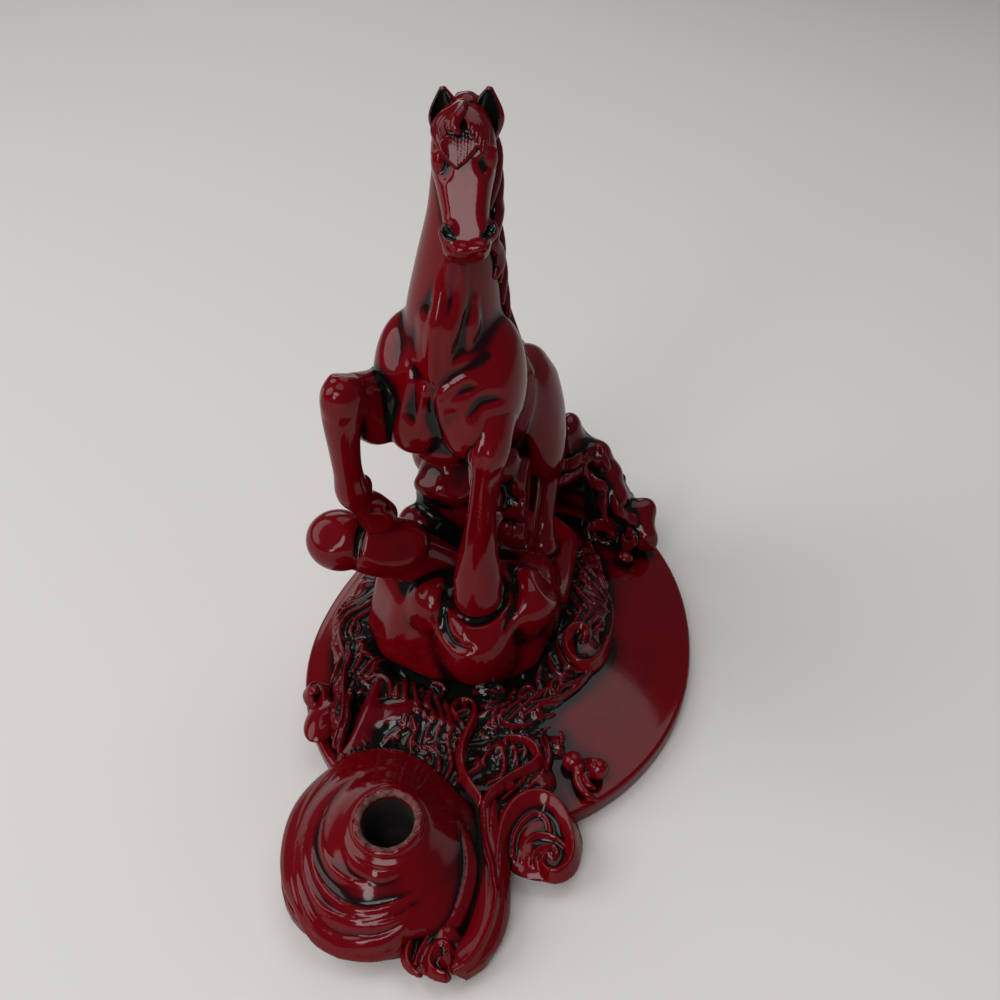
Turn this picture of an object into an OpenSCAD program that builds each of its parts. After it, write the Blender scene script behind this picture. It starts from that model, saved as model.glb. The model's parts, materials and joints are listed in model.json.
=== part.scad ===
// Pen holder: a horse springs over a rock in the sea, on an oval base that runs out into a swirl
// of water with a pen hole. It is cast in pieces that are pinned, glued and lacquered together.
// Millimetres. The origin is on the desk under the base, +Z is up, and the horse looks to -Y.

/* [Base] */
// Thickness of the felt pad
felt_t = 1; // [0.6:0.1:3]
// Distance that the felt stays inside the edge of the plate
felt_inset = 2; // [1:0.5:4]
// Thickness of the base plate
plate_t = 4.5; // [3:0.5:8]
// Width of the oval
oval_w = 99; // [94:1:115]
// Reach of the oval in front of its widest place
oval_front = 63; // [58:1:66]
// Reach of the oval behind its widest place
oval_rear = 76; // [74:1:90]
// Height of the dome over the plate
dome_h = 6.5; // [4:0.5:10]

/* [Pen socket] */
// Diameter of the pen bore
pen_d = 11; // [8:0.5:12]
// Depth of the pen bore
pen_depth = 15; // [10:0.5:15.5]
// Lean of the pen towards the front, in degrees
pen_tilt = 16; // [8:1:20]
// Width of the lip around the bore
pen_lip = 2.6; // [2:0.2:4]
// Distance from the origin forward to the mouth of the bore
pen_reach = 68; // [66:1:74]
// Height of the mouth over the plate
socket_h = 17.5; // [17:0.5:22]
// Height of the edge of the swirl over the plate
socket_edge_h = 3; // [2:0.5:5]
// Radius of the swirl at its front
swirl_r = 19; // [18:0.5:22]
// Height of the ridges that wind around the swirl
ridge_h = 0.9; // [0.4:0.1:1.4]

/* [Scrolls and waves] */
// Outer radius of the scroll beside the stem
scroll_r = 10; // [8:0.5:12]
// Outer radius of the curl at the front end of the stem
front_curl_r = 6; // [5:0.5:8]
// Width of the stem
stem_w = 9; // [7:0.5:12]
// Height of the stem over the plate
stem_h = 7; // [5:0.5:10]
// Thickness of the two tendrils
tendril_t = 3.2; // [2.4:0.2:4.5]
// Height of the foam bed over the plate
foam_h = 7.5; // [6.5:0.5:9]
// Height of the right wave over the dome
right_wave_h = 6; // [4:0.5:9]
// Outer radius of the curl on the right wave
right_curl_r = 8; // [6:0.5:10]
// Height of the left wave over the dome
left_wave_h = 4; // [3:0.5:6]
// Outer radius of the curl on the left wave
left_curl_r = 5.5; // [4:0.5:7]
// Height of the crest behind the horse over the dome
rear_wave_h = 30; // [24:0.5:36]
// Diameter of the foam beads
bead_d = 5; // [4:0.5:7]

/* [Rock] */
// Height of the rock under the horse over the dome
rock_h = 18; // [15:0.5:24]
// Drop from that height to the ledge of the hind hooves
ledge_drop = 10; // [8:0.5:12]
// Diameter of the hollow around the planted fore hoof
hoof_seat_d = 15; // [13:0.5:18]
// Diameter of the end lobe of the spur under the raised hoof
spur_d = 16; // [13:0.5:18]

/* [Horse] */
// Width of the chest
chest_w = 31; // [27:0.5:36]
// Depth of the chest from withers to breast
chest_d = 37; // [34:0.5:42]
// Width of the rump
rump_w = 30; // [26:0.5:34]
// Depth of the rump
rump_d = 32; // [29:0.5:36]
// Width of the neck at its middle
neck_w = 17; // [14:0.5:20]
// Width of the head at the eyes
head_w = 12.6; // [11:0.2:15]
// Length of the ears
ear_l = 10; // [8:0.5:12]
// Thickness of the cannons
cannon_t = 5.8; // [5:0.2:7]
// Width of the hooves
hoof_w = 9.6; // [8.4:0.2:11]
// Thickness of the tail
tail_t = 11; // [9:0.5:14]

/* [Joinery] */
// Diameter of the steel pins in the hooves
pin_d = 2.4; // [1.6:0.2:3]
// Length of the steel pins in the hooves
pin_l = 12; // [9:0.5:14]
// Diameter of the dowels of the limbs
dowel_d = 4; // [3:0.2:4.4]
// Length of the dowels of the limbs
dowel_l = 14; // [11:0.5:16]
// Diameter of the dowels in the base
base_dowel_d = 5; // [4:0.5:7]
// Gap around each pin and dowel in its hole
pin_gap = 0.1; // [0.05:0.05:0.25]

/* [Hidden] */
$fn = 48;

// Colours of the lacquer, of its darker recesses and of the hidden pieces
LACQUER = [0.42, 0.04, 0.06];
LACQUER_DARK = [0.22, 0.03, 0.04];
FELT = [0.1, 0.1, 0.11];
STEEL = [0.7, 0.7, 0.72];
BEECH = [0.78, 0.62, 0.42];

// Levels over the desk
plate_bottom = felt_t;
plate_top = plate_bottom + plate_t;
dome_top = plate_top + dome_h;
seat_z = dome_top + rock_h;
ledge_z = seat_z - ledge_drop;
reach = 400; // larger than the object, for cuts

// The oval: widest at this distance behind the origin
oval_mid = 8;
function oval(w, front, rear) = [for (k = [0:47]) let(q = k * 7.5, s = sin(q))
    [w / 2 * cos(q), oval_mid + s * (s < 0 ? front : rear)]];

// Smooth curves through stations. A station is any vector, here [x, y, z, half width, half height].
function spline(a, b, c, d, t) = 0.5 * (2 * b + (c - a) * t + (2 * a - 5 * b + 4 * c - d) * t * t
    + (3 * b - a - 3 * c + d) * t * t * t);
function smoothed(st, steps) = let(last = len(st) - 1) [
    for (i = [0:last - 1]) for (k = [0:steps - 1])
        spline(st[max(i - 1, 0)], st[i], st[i + 1], st[min(i + 2, last)], k / steps),
    st[last]];
function place(s) = [s[0], s[1], s[2]];
function unit(v) = v / norm(v);
function ring(st, i, side, n) = let(
    along = unit(place(st[min(i + 1, len(st) - 1)]) - place(st[max(i - 1, 0)])),
    u = unit(side - (side * along) * along),
    v = cross(along, u))
    [for (k = [0:n - 1]) place(st[i]) + st[i][3] * cos(360 * k / n) * u + st[i][4] * sin(360 * k / n) * v];

// A closed skin through elliptical rings; the half widths lie along side, as far as the path allows
module loft(stations, side = [1, 0, 0], n = 12, steps = 2) {
    st = smoothed(stations, steps);
    last = len(st) - 1;
    walls = [for (i = [0:last - 1]) for (k = [0:n - 1]) let(a = i * n + k, b = i * n + (k + 1) % n)
        each [[a, a + n, b + n], [a, b + n, b]]];
    caps = [[for (k = [0:n - 1]) k], [for (k = [n - 1:-1:0]) last * n + k]];
    polyhedron(points = [for (i = [0:last]) each ring(st, i, side, n)], faces = concat(walls, caps));
}

// The convex body over a list of corners
module boulder(corners) {
    hull() polyhedron(points = corners, faces = [[for (i = [0:len(corners) - 1]) i]]);
}

// Forms that are cut by their neighbours become one faceted skin
module skin() {
    resize([0, 0, 0]) children();
}

// A round rod between two points
module rod(p, q, d) {
    v = q - p;
    translate(p) rotate([0, acos(v[2] / norm(v)), atan2(v[1], v[0])]) cylinder(h = norm(v), d = d);
}

// Everything under a level
module under(z) {
    translate([-reach / 2, -reach / 2, z - reach]) cube(reach);
}

// Stations of a curl that winds in around a centre from its outer radius, thinner as it goes and
// rising to its eye, so that its turns never meet
eye_share = 0.2; // radius of the path at the eye, as a share of the outer radius
end_share = 0.45; // thickness at the eye, as a share of that at the start
curl_thick = 0.26; // half thickness at the start, as a share of the outer radius
function curl(centre, r, start, turns, hand, thick, rise) = let(n = ceil(turns * 12)) [for (i = [0:n])
    let(f = i / n, a = start + hand * 360 * turns * f, q = (r - thick) * pow(eye_share, f))
    [centre[0] + q * cos(a), centre[1] + q * sin(a), centre[2] + rise * f,
     thick * pow(end_share, f), thick * pow(end_share, f)]];

// Base

// Where the pen leaves the swirl, and the scrolls beside it
pen_x = -7.5;
pen_mouth = [pen_x, -pen_reach, plate_top + socket_h];
pen_axis = [0, -sin(pen_tilt), cos(pen_tilt)];
scroll_at = [20.5, 17.5 - pen_reach, plate_top];
front_curl_at = [5.5, -13.5 - pen_reach, plate_top];
left_curl_at = [-35.5, -26, dome_top + left_wave_h + 0.5];
right_curl_at = [20, 2, dome_top + right_wave_h + 0.5];

// Radii of the swirl around the bore at every 36 degrees, as shares of its front radius:
// it is wide at the back left, where the water comes from, and tight at the front
swirl_shares = [0.9, 1.05, 1.4, 1.85, 1.65, 1.35, 1.2, 1.03, 0.97, 0.95];
swirl_sides = 40;
function swirl_share(q) = let(n = len(swirl_shares), f = q / 360 * n, i = floor(f))
    spline(swirl_shares[(i + n - 1) % n], swirl_shares[i % n], swirl_shares[(i + 1) % n],
        swirl_shares[(i + 2) % n], f - i);
function swirl_radius(q) = swirl_r * swirl_share(q % 360);
swirl_outline = [for (k = [0:swirl_sides - 1]) let(q = 360 * k / swirl_sides)
    [pen_mouth[0] + swirl_radius(q) * cos(q), pen_mouth[1] + swirl_radius(q) * sin(q)]];

module base_outline() {
    polygon(oval(oval_w, oval_front, oval_rear));
    polygon(swirl_outline);
    translate([scroll_at[0], scroll_at[1]]) circle(r = scroll_r + 0.5);
    translate([front_curl_at[0], front_curl_at[1]]) circle(r = front_curl_r + 0.5);
    polygon([for (s = stem_st) [s[0] + stem_w / 2, s[1]], [pen_x, front_curl_at[1]], [pen_x, scroll_at[1]]]);
    polygon([[pen_x, scroll_at[1]], [scroll_at[0] + scroll_r * 0.7, scroll_at[1]], [32, -20], [-36, -20]]);
}

module base_felt() {
    color(FELT) linear_extrude(felt_t) offset(delta = -felt_inset) base_outline();
}

// The outline of the plate is one rounded edge
plate_round = 1.5;
module base_plate() {
    color(LACQUER) difference() {
        translate([0, 0, plate_bottom]) linear_extrude(plate_t)
            offset(r = plate_round) offset(delta = -plate_round) base_outline();
        base_dowel_holes();
    }
}

// The dome runs from the oval up to a level top that is set over to the left
dome_lip = 1.2;
dome_top_w = 64;
dome_top_x = -6;
dome_top_front = 30;
dome_top_rear = 62;
module dome_form() {
    rim = oval(oval_w, oval_front, oval_rear);
    top = oval(dome_top_w, dome_top_front, dome_top_rear);
    boulder(concat(
        [for (p = rim) [p[0], p[1], plate_top]],
        [for (p = rim) [p[0] * 0.99, p[1] * 0.99, plate_top + dome_lip]],
        [for (p = top) [p[0] + dome_top_x, p[1], dome_top]]));
}

module base_dome() {
    color(LACQUER) difference() {
        skin() difference() {
            dome_form();
            socket_form();
        }
        base_dowel_holes();
    }
}

// The swirl: rings around the bore that fall from the mouth to the edge, with ridges winding out
swirl_rings = 12;
ridge_turns = 3;
swirl_fall = 0.75; // below 1 the swirl stays high near the bore
function swirl_point(i, q) = let(
    f = i / swirl_rings,
    mouth_r = pen_d / 2 + pen_lip,
    r = mouth_r + (swirl_radius(q) - mouth_r) * f,
    lean = r * sin(q) * tan(pen_tilt) * (1 - f) * (1 - f),
    ridges = ridge_h * sin(360 * (ridge_turns * f - q / 360)) * sin(180 * f) * (0.55 - 0.45 * cos(q - 50)),
    fall = socket_edge_h + (socket_h - socket_edge_h) * (1 - pow(f, swirl_fall)))
    [pen_mouth[0] + r * cos(q), pen_mouth[1] + r * sin(q), plate_top + fall + lean + ridges];
module socket_form() {
    n = swirl_sides;
    top = [for (i = [0:swirl_rings]) for (k = [0:n - 1]) swirl_point(i, 360 * k / n)];
    foot = [for (p = swirl_outline) [p[0], p[1], plate_top]];
    hub = len(top) + n;
    walls = [for (i = [0:swirl_rings]) for (k = [0:n - 1]) let(a = i * n + k, b = i * n + (k + 1) % n)
        each [[a, b, b + n], [a, b + n, a + n]]];
    floors = [for (k = [0:n - 1]) [hub, hub - n + k, hub - n + (k + 1) % n]];
    mouth = [for (k = [0:n - 1]) [hub + 1, (k + 1) % n, k]];
    polyhedron(points = concat(top, foot, [[pen_mouth[0], pen_mouth[1], plate_top]], [pen_mouth]),
        faces = concat(walls, floors, mouth));
}

module pen_socket() {
    color(LACQUER) difference() {
        socket_form();
        rod(pen_mouth - pen_depth * pen_axis, pen_mouth + pen_depth * pen_axis, pen_d);
        base_dowel_holes();
    }
}

// The stem runs from the fork of the tendrils down the right of the swirl to the front curl
fork = [7.5, 20.5 - pen_reach, plate_top];
stem_st = [for (s = [[0, 0, 0.5], [2.2, -7, 0.7], [4.6, -14, 0.85], [6.8, -21, 0.9], [7.2, -29, 0.9],
    [5, -36, 0.8], [1.5, -40, 0.6]])
    [fork[0] + s[0], fork[1] + s[1], plate_top, stem_h * s[2], stem_w / 2 * s[2]]];
module stem_form() {
    loft(stem_st, [0, 0, 1]);
}

module swirl_stem() {
    color(LACQUER) skin() difference() {
        stem_form();
        under(plate_top);
        socket_form();
        dome_form();
    }
}

module front_curl_form() {
    thick = front_curl_r * curl_thick;
    loft(curl(front_curl_at + [0, 0, stem_h * 0.5], front_curl_r, -70, 1.3, -1, thick, 1), [0, 0, 1], 8, 1);
    translate(front_curl_at) cylinder(h = stem_h * 0.5, r1 = front_curl_r, r2 = front_curl_r * 0.8, $fn = 24);
}

module front_curl() {
    color(LACQUER) skin() difference() {
        front_curl_form();
        under(plate_top);
        socket_form();
        stem_form();
    }
}

module side_scroll_form() {
    thick = scroll_r * curl_thick;
    loft(curl(scroll_at + [0, 0, stem_h * 0.6], scroll_r, 190, 1.5, -1, thick, 2), [0, 0, 1], 8, 1);
    translate(scroll_at) cylinder(h = stem_h * 0.6, r1 = scroll_r, r2 = scroll_r * 0.85, $fn = 32);
}

module side_scroll() {
    color(LACQUER) skin() difference() {
        side_scroll_form();
        under(plate_top);
        socket_form();
        stem_form();
        dome_form();
    }
}

// The tendrils run over the foam from the fork to their hooks, which stay where they are beside the rock.
// Their stations are [sideways from the fork, share of the way to the hook, share of the thickness].
left_hook_y = -21;
right_hook_y = -30.5;
function tendril(st, hook_y) = [for (s = st) [fork[0] + s[0], fork[1] + s[1] * (hook_y - fork[1]),
    plate_top + foam_h, tendril_t / 2 * s[2] * 1.5, tendril_t / 2 * s[2]]];
tendril_left_st = tendril([[0, -0.08, 0.8], [-4.5, 0.19, 1], [-7.5, 0.42, 1], [-7.5, 0.68, 1], [-6.5, 0.87, 1],
    [-8.5, 1, 0.95], [-12, 0.96, 0.9], [-12.5, 0.83, 0.8]], left_hook_y);
tendril_right_st = tendril([[0.5, -0.12, 0.8], [3.5, 0.24, 1], [8, 0.5, 1], [10, 0.76, 1], [8, 1, 0.95],
    [4, 1, 0.9], [2, 0.85, 0.8]], right_hook_y);

module tendril_left() {
    color(LACQUER) skin() difference() {
        loft(tendril_left_st, [0, 0, 1], 8);
        foam_form();
        dome_form();
        socket_form();
        stem_form();
        rock_form();
    }
}

module tendril_right() {
    color(LACQUER) skin() difference() {
        loft(tendril_right_st, [0, 0, 1], 8);
        loft(tendril_left_st, [0, 0, 1], 8);
        foam_form();
        dome_form();
        socket_form();
        stem_form();
        side_scroll_form();
        loft(wave_right_st, [0, 0, 1], 10);
    }
}

// The foam bed fills the hollow between the swirl, the stem and the rock
module foam_form() {
    boulder([for (f = [[1, 0], [0.9, foam_h]]) for (p = [[-30, -33], [-22, -40], [-8, -44], [4, -48], [12, -50],
        [20, -44], [24, -34], [22, -20], [10, -12], [-6, -13], [-22, -10], [-32, -20]])
        [p[0] * f[0], (p[1] + 30) * f[0] - 30, plate_top + f[1]]]);
}

module foam_bed() {
    color(LACQUER_DARK) skin() difference() {
        foam_form();
        dome_form();
        socket_form();
        stem_form();
        side_scroll_form();
        rock_form();
    }
}

// Waves: bands on the dome, given as [x, y, height share, half width]
function wave(st, h) = [for (s = st) [s[0], s[1], dome_top - 1, h * s[2] + 1, s[3]]];
wave_left_st = wave([[-30, -40, 0.5, 2], [-33, -33, 0.8, 3.5], [-36, -20, 1, 4], [-38.5, -4, 1, 4],
    [-38.5, 12, 1, 4], [-36, 26, 1.1, 5], [-30, 40, 0.8, 5]], left_wave_h);
wave_right_st = wave([[8, -24, 0.6, 3], [15, -19, 0.9, 5], [22, -10, 1, 6.5], [24, 4, 1.1, 7], [22, 20, 1.1, 7],
    [18, 36, 1, 7], [14, 50, 0.7, 5]], right_wave_h);
wave_rear_st = wave([[-32, 42, 0.15, 4], [-26, 54, 0.25, 6], [-14, 63, 0.45, 7], [-2, 67, 0.85, 8], [7, 67, 1, 8],
    [15, 66, 0.8, 8], [21.5, 64, 0.52, 7], [26, 61, 0.3, 6], [31, 57, 0.2, 5], [34.5, 52, 0.1, 3]], rear_wave_h);

module wave_left() {
    color(LACQUER_DARK) skin() difference() {
        loft(wave_left_st, [0, 0, 1], 10);
        under(plate_top);
        dome_form();
        socket_form();
        rock_form();
        foam_form();
    }
}

// A tapered disc under a curl joins its turns
module curl_bed(r, h) {
    translate([0, 0, -h]) cylinder(h = h, r1 = 0.75 * r, r2 = 0.9 * r, $fn = 24);
}

module curl_left() {
    thick = left_curl_r * curl_thick;
    color(LACQUER) skin() difference() {
        union() {
            loft(curl(left_curl_at, left_curl_r, 250, 1.3, -1, thick, 1), [0, 0, 1], 8, 1);
            translate(left_curl_at) curl_bed(left_curl_r, left_wave_h);
        }
        loft(wave_left_st, [0, 0, 1], 10);
        dome_form();
    }
}

module wave_right() {
    color(LACQUER_DARK) skin() difference() {
        loft(wave_right_st, [0, 0, 1], 10);
        under(plate_top);
        dome_form();
        rock_form();
        foam_form();
    }
}

module curl_right() {
    thick = right_curl_r * curl_thick;
    color(LACQUER) skin() difference() {
        union() {
            loft(curl(right_curl_at, right_curl_r, 200, 1.5, -1, thick, 1), [0, 0, 1], 8, 1);
            translate(right_curl_at) curl_bed(right_curl_r, right_wave_h);
        }
        loft(wave_right_st, [0, 0, 1], 10);
        dome_form();
        rock_form();
    }
}

module wave_rear() {
    color(LACQUER_DARK) skin() difference() {
        loft(wave_rear_st, [0, 0, 1], 10);
        under(plate_top);
        dome_form();
        rock_form();
        loft(wave_left_st, [0, 0, 1], 10);
        loft(wave_right_st, [0, 0, 1], 10);
    }
}

// Beads of foam sit half sunk in the dome: [distance in from the right side of the oval, y]
bead_places = [[29, -26], [24, -32], [18, -33], [16.5, 57], [21.5, 46]];
module foam_beads() {
    color(LACQUER) skin() difference() {
        for (p = bead_places) translate([oval_w / 2 - p[0], p[1], plate_top + dome_h * 0.55])
            sphere(d = bead_d, $fn = 16);
        dome_form();
        foam_form();
        side_scroll_form();
        loft(wave_right_st, [0, 0, 1], 10);
        loft(wave_rear_st, [0, 0, 1], 10);
    }
}

// Rock: a steep boulder in front and a level ledge behind it

rock_foot = [[-34, -2], [-27, -12], [-12, -17.5], [5, -16], [13, -7], [16, 10], [14, 26], [-32, 26]];
rock_crown = [[-8, -15.5, 4.5], [5, -15, 4.5], [11.5, -6, 2.5], [13.5, 8, -1], [10, 22, -3], [-28, 22, -3],
    [-31, 3, 0], [-22, -10, 1], [-13, 2, 6], [0, 3, 6]];
ledge_foot = [[17, 14], [16, 44], [8, 52], [-24, 52], [-33, 42], [-34, 14]];
module rock_form() {
    boulder(concat([for (p = rock_foot) [p[0], p[1], dome_top]],
        [for (p = rock_crown) [p[0], p[1], seat_z + p[2]]]));
    boulder(concat([for (p = ledge_foot) [p[0], p[1], dome_top]],
        [for (p = ledge_foot) [p[0] * 0.94 - 0.5, (p[1] - 30) * 0.94 + 30, ledge_z]]));
}

module rock() {
    color(LACQUER) difference() {
        skin() rock_form();
        translate(fore_hoof) cylinder(h = rock_h, d = hoof_seat_d);
        hoof_pin_holes();
        base_dowel_holes();
    }
}

// The spur grows out of the boulder to the left and carries the raised hoof
spur_st = [for (s = [[-11, 4, -1, 0.85], [-16, 0, 6, 0.82], [-21.5, -6.5, 13.5, 0.9], [-26, -11, 18, 0.97],
    [-30, -12.8, 19.3, 0.83], [-34, -14, 20, 1], [-38.5, -15, 20.4, 0.85], [-41, -15.6, 20.6, 0.35]])
    [s[0], s[1], seat_z + s[2], spur_d / 2 * s[3], spur_d / 2 * s[3]]];
module rock_outcrop() {
    color(LACQUER) skin() difference() {
        loft(spur_st, [0, 0, 1]);
        rock_form();
    }
}

// Horse. Its stations are written from the middle of the horse, over the seat of the fore hoof.

horse_x = -8;
function horse(st) = [for (s = st) concat([horse_x + s[0], s[1], seat_z + s[2]], [s[3], s[4]])];

half_chest = chest_w / 2;
deep_chest = chest_d / 2;
half_rump = rump_w / 2;
deep_rump = rump_d / 2;
torso_st = horse([
    [0, -18, 58, 0.35 * half_chest, 0.35 * deep_chest],
    [0, -14.5, 58, 0.8 * half_chest, 0.8 * deep_chest],
    [0, -7, 57.5, half_chest, deep_chest],
    [0, 4, 54, half_chest, deep_chest],
    [0, 15, 47, 0.92 * half_chest, 0.88 * deep_chest],
    [0, 26, 39.5, 0.93 * half_rump, 0.95 * deep_rump],
    [0, 36, 33, half_rump, deep_rump],
    [0, 45, 28.5, 0.88 * half_rump, 0.95 * deep_rump],
    [0, 51.5, 25.5, 0.5 * half_rump, 0.6 * deep_rump],
    [0, 54, 24.5, 0.15 * half_rump, 0.2 * deep_rump]]);
module torso_form() {
    loft(torso_st, n = 16);
}

half_neck = neck_w / 2;
neck_st = horse([
    [0, 1, 52, 1.3 * half_neck, 1.75 * half_neck],
    [0.2, -2.5, 66, 1.3 * half_neck, 1.75 * half_neck],
    [0.9, -3.2, 77, 1.08 * half_neck, 1.55 * half_neck],
    [1.9, -4.6, 88, 0.9 * half_neck, 1.3 * half_neck],
    [2.9, -5.4, 99, 0.75 * half_neck, 1.12 * half_neck],
    [3.4, -5, 108, 0.66 * half_neck, 0.96 * half_neck],
    [3.6, -4, 114, 0.5 * half_neck, 0.65 * half_neck],
    [3.6, -3.6, 116, 0.24 * half_neck, 0.3 * half_neck]]);
module neck_form() {
    loft(neck_st);
}

// The head is turned a little to the viewer's right
head_turn = 13;
head_side = [cos(head_turn), sin(head_turn), 0];
half_head = head_w / 2;
head_st = horse([
    [3.2, -0.5, 117, 0.4 * half_head, 0.48 * half_head],
    [3.6, -4.5, 114, 0.9 * half_head, 1.05 * half_head],
    [4.6, -9, 109.5, half_head, 1.2 * half_head],
    [5.6, -13.2, 105, 0.84 * half_head, half_head],
    [6.6, -16.8, 100.8, 0.68 * half_head, 0.8 * half_head],
    [7.3, -19.4, 97.9, 0.73 * half_head, 0.73 * half_head],
    [7.8, -21.1, 96, 0.65 * half_head, 0.6 * half_head],
    [8.1, -22.3, 94.7, 0.38 * half_head, 0.35 * half_head]]);
module head_form() {
    loft(head_st, head_side);
}

ear_root_z = 112;
function ear_st(x, y, out) = horse([
    [x, y, ear_root_z, 2.3, 1.9],
    [x + 0.2 * out, y - 0.6, ear_root_z + 0.4 * ear_l, 2.7, 1.8],
    [x + 0.4 * out, y - 1.3, ear_root_z + 0.75 * ear_l, 1.8, 1.2],
    [x + 0.2 * out, y - 1.8, ear_root_z + ear_l, 0.3, 0.3]]);
module ears_form() {
    loft(ear_st(4 - 0.6 * half_head, -4.6, -1), head_side, 8);
    loft(ear_st(4 + 0.6 * half_head, -3, 1), head_side, 8);
}

forelock_st = horse([
    [3.6, -2.5, 119.5, 2.6, 2], [4, -6, 119.5, 3.2, 2.4], [4.4, -9.8, 117.3, 4, 2.2],
    [4.9, -13, 113.6, 3.4, 1.8], [5.3, -14.6, 110.8, 0.8, 0.8]]);
module forelock_form() {
    loft(forelock_st, head_side, 10);
}

mane_st = horse([
    [3.6, -1.5, 118, 1.6, 1.8], [3.4, 2, 112, 2.6, 4], [2.8, 5, 103, 3, 5.5], [2.2, 8, 92, 3.4, 6],
    [1.6, 11, 80, 3.2, 6], [1, 14, 70, 2.8, 4.5], [0.6, 17, 64, 1.2, 1.5]]);
mane_lock_roots = [0.2, 0.4, 0.6, 0.8];
function mane_lock(f) = let(root = mane_st[floor(f * (len(mane_st) - 1))])
    [root + [0, 0, 0, -0.8, -3.2], root + [3.5, 2.5, -4, -0.6, -2.8], root + [5.5, 4, -10, -0.9, -3.2],
     root + [5, 6.5, -15, -2, -4.8 + 0.8]];
module mane_form() {
    loft(mane_st);
    for (f = mane_lock_roots) loft([for (s = mane_lock(f)) [s[0], s[1], s[2], max(s[3], 0.6), max(s[4], 0.7)]],
        n = 8);
}

half_tail = tail_t / 2;
tail_st = horse([
    [0, 46, 36, 0.6 * half_tail, 0.6 * half_tail], [0, 54, 38.5, 0.7 * half_tail, 0.65 * half_tail],
    [0, 61, 35, 0.9 * half_tail, 0.75 * half_tail], [2, 65.5, 27, 1.1 * half_tail, 0.9 * half_tail],
    [6, 68, 18, 1.1 * half_tail, 0.9 * half_tail], [10, 69, 9, half_tail, 0.8 * half_tail],
    [13, 69, 2, 0.5 * half_tail, 0.4 * half_tail]]);
module tail_form() {
    loft(tail_st);
}

// Legs. Each ends in a hoof whose sole is level on its seat.
half_cannon = cannon_t / 2;
half_hoof = hoof_w / 2;
hoof_step = 5; // the planted hoof stands this much over the seat level of the raised spur
planted_st = horse([
    [6.5, -3, 60, 4, 5], [9.3, -10, 58, 5.8, 7], [10.3, -14.5, 53, 4.7, 5.5], [9.6, -14.6, 46, 4, 4.6],
    [8.5, -13, 36, half_cannon, 1.2 * half_cannon], [7.5, -11.2, 28, 0.97 * half_cannon, 1.1 * half_cannon],
    [6.9, -9.9, 21, 1.07 * half_cannon, 1.2 * half_cannon], [6.5, -9.2, 17, 1.35 * half_cannon, 1.45 * half_cannon],
    [6.4, -9.5, 13.5, 1.25 * half_cannon, 1.35 * half_cannon],
    [6.4, -10, hoof_step + 5.5, 0.88 * half_hoof, 0.96 * half_hoof],
    [6.5, -10.4, hoof_step, half_hoof, 1.15 * half_hoof],
    [6.5, -10.4, hoof_step - 3, half_hoof, 1.15 * half_hoof]]);
module planted_form() {
    loft(planted_st);
}

raised_arm_st = horse([
    [-5.5, -1, 57.5, 4, 5], [-10.5, -9, 59.5, 6, 8], [-13.5, -17, 63, 5, 6.3], [-16, -24, 66.5, 4.2, 4.8],
    [-17, -27, 68, 2.4, 2.8]]);
raised_shin_st = horse([
    [-16.5, -25, 70.5, 2.6, 2.8], [-16.8, -26.3, 66.5, 4.2, 4.5], [-17.3, -26.6, 61.5, 3.8, 4.2],
    [-17.7, -25.6, 54, 1.03 * half_cannon, 1.15 * half_cannon], [-18, -24, 47, 0.97 * half_cannon, 1.07 * half_cannon],
    [-18.2, -22, 40.8, 1.18 * half_cannon, 1.35 * half_cannon], [-17.6, -19, 36, 1.04 * half_cannon, 1.14 * half_cannon],
    [-16.6, -15.5, 32, 0.85 * half_hoof, 0.8 * half_hoof], [-15.8, -12.5, 27, half_hoof, 0.95 * half_hoof]]);
module raised_form() {
    loft(raised_arm_st);
    loft(raised_shin_st);
}

function hind_st(hand, back) = horse([for (s = [
    [8, 38, 36, 7, 13], [12, 35, 30, 6.5, 12], [14, 33.5, 23, 5.6, 9.5], [14.6, 36.5, 17, 4.4, 6.5],
    [14.5, 40, 11.5, 1.2 * half_cannon, 1.65 * half_cannon], [14.3, 38.5, 5, 0.97 * half_cannon, 1.14 * half_cannon],
    [14, 36, -2, 1.03 * half_cannon, 1.2 * half_cannon], [14.2, 34.2, -5, 1.1 * half_cannon, 1.2 * half_cannon],
    [14.3, 33, -ledge_drop, 0.92 * half_hoof, 1.04 * half_hoof],
    [14.3, 33, -ledge_drop - 3, 0.92 * half_hoof, 1.04 * half_hoof]])
    [hand * s[0], s[1] + back, s[2], s[3], s[4]]]);
left_hind_back = -5;
module hind_form(hand, back) {
    loft(hind_st(hand, back));
}

// The lump under the belly
support_st = horse([
    [-2, 17, -9, 13, 9], [-3, 16, 0, 10, 7.5], [-4.5, 14.5, 9, 7.5, 6], [-6, 13.5, 17, 9, 7.5],
    [-5.5, 14, 24, 8.5, 8], [-4, 15, 30, 7, 7], [-3, 15, 40, 6, 6]]);
module belly_support() {
    color(LACQUER_DARK) skin() difference() {
        loft(support_st);
        rock_form();
        torso_form();
        hind_form(1, 0);
        hind_form(-1, left_hind_back);
    }
}

module torso() {
    color(LACQUER) difference() {
        torso_form();
        limb_dowel_holes();
    }
}

module neck() {
    color(LACQUER) difference() {
        skin() difference() {
            neck_form();
            torso_form();
        }
        limb_dowel_holes();
    }
}

module head() {
    color(LACQUER) skin() difference() {
        head_form();
        neck_form();
    }
}

module ears() {
    color(LACQUER) skin() difference() {
        ears_form();
        head_form();
        neck_form();
    }
}

module forelock() {
    color(LACQUER_DARK) skin() difference() {
        forelock_form();
        head_form();
        neck_form();
        ears_form();
    }
}

module mane() {
    color(LACQUER_DARK) skin() difference() {
        mane_form();
        neck_form();
        head_form();
        torso_form();
        ears_form();
        forelock_form();
    }
}

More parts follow.
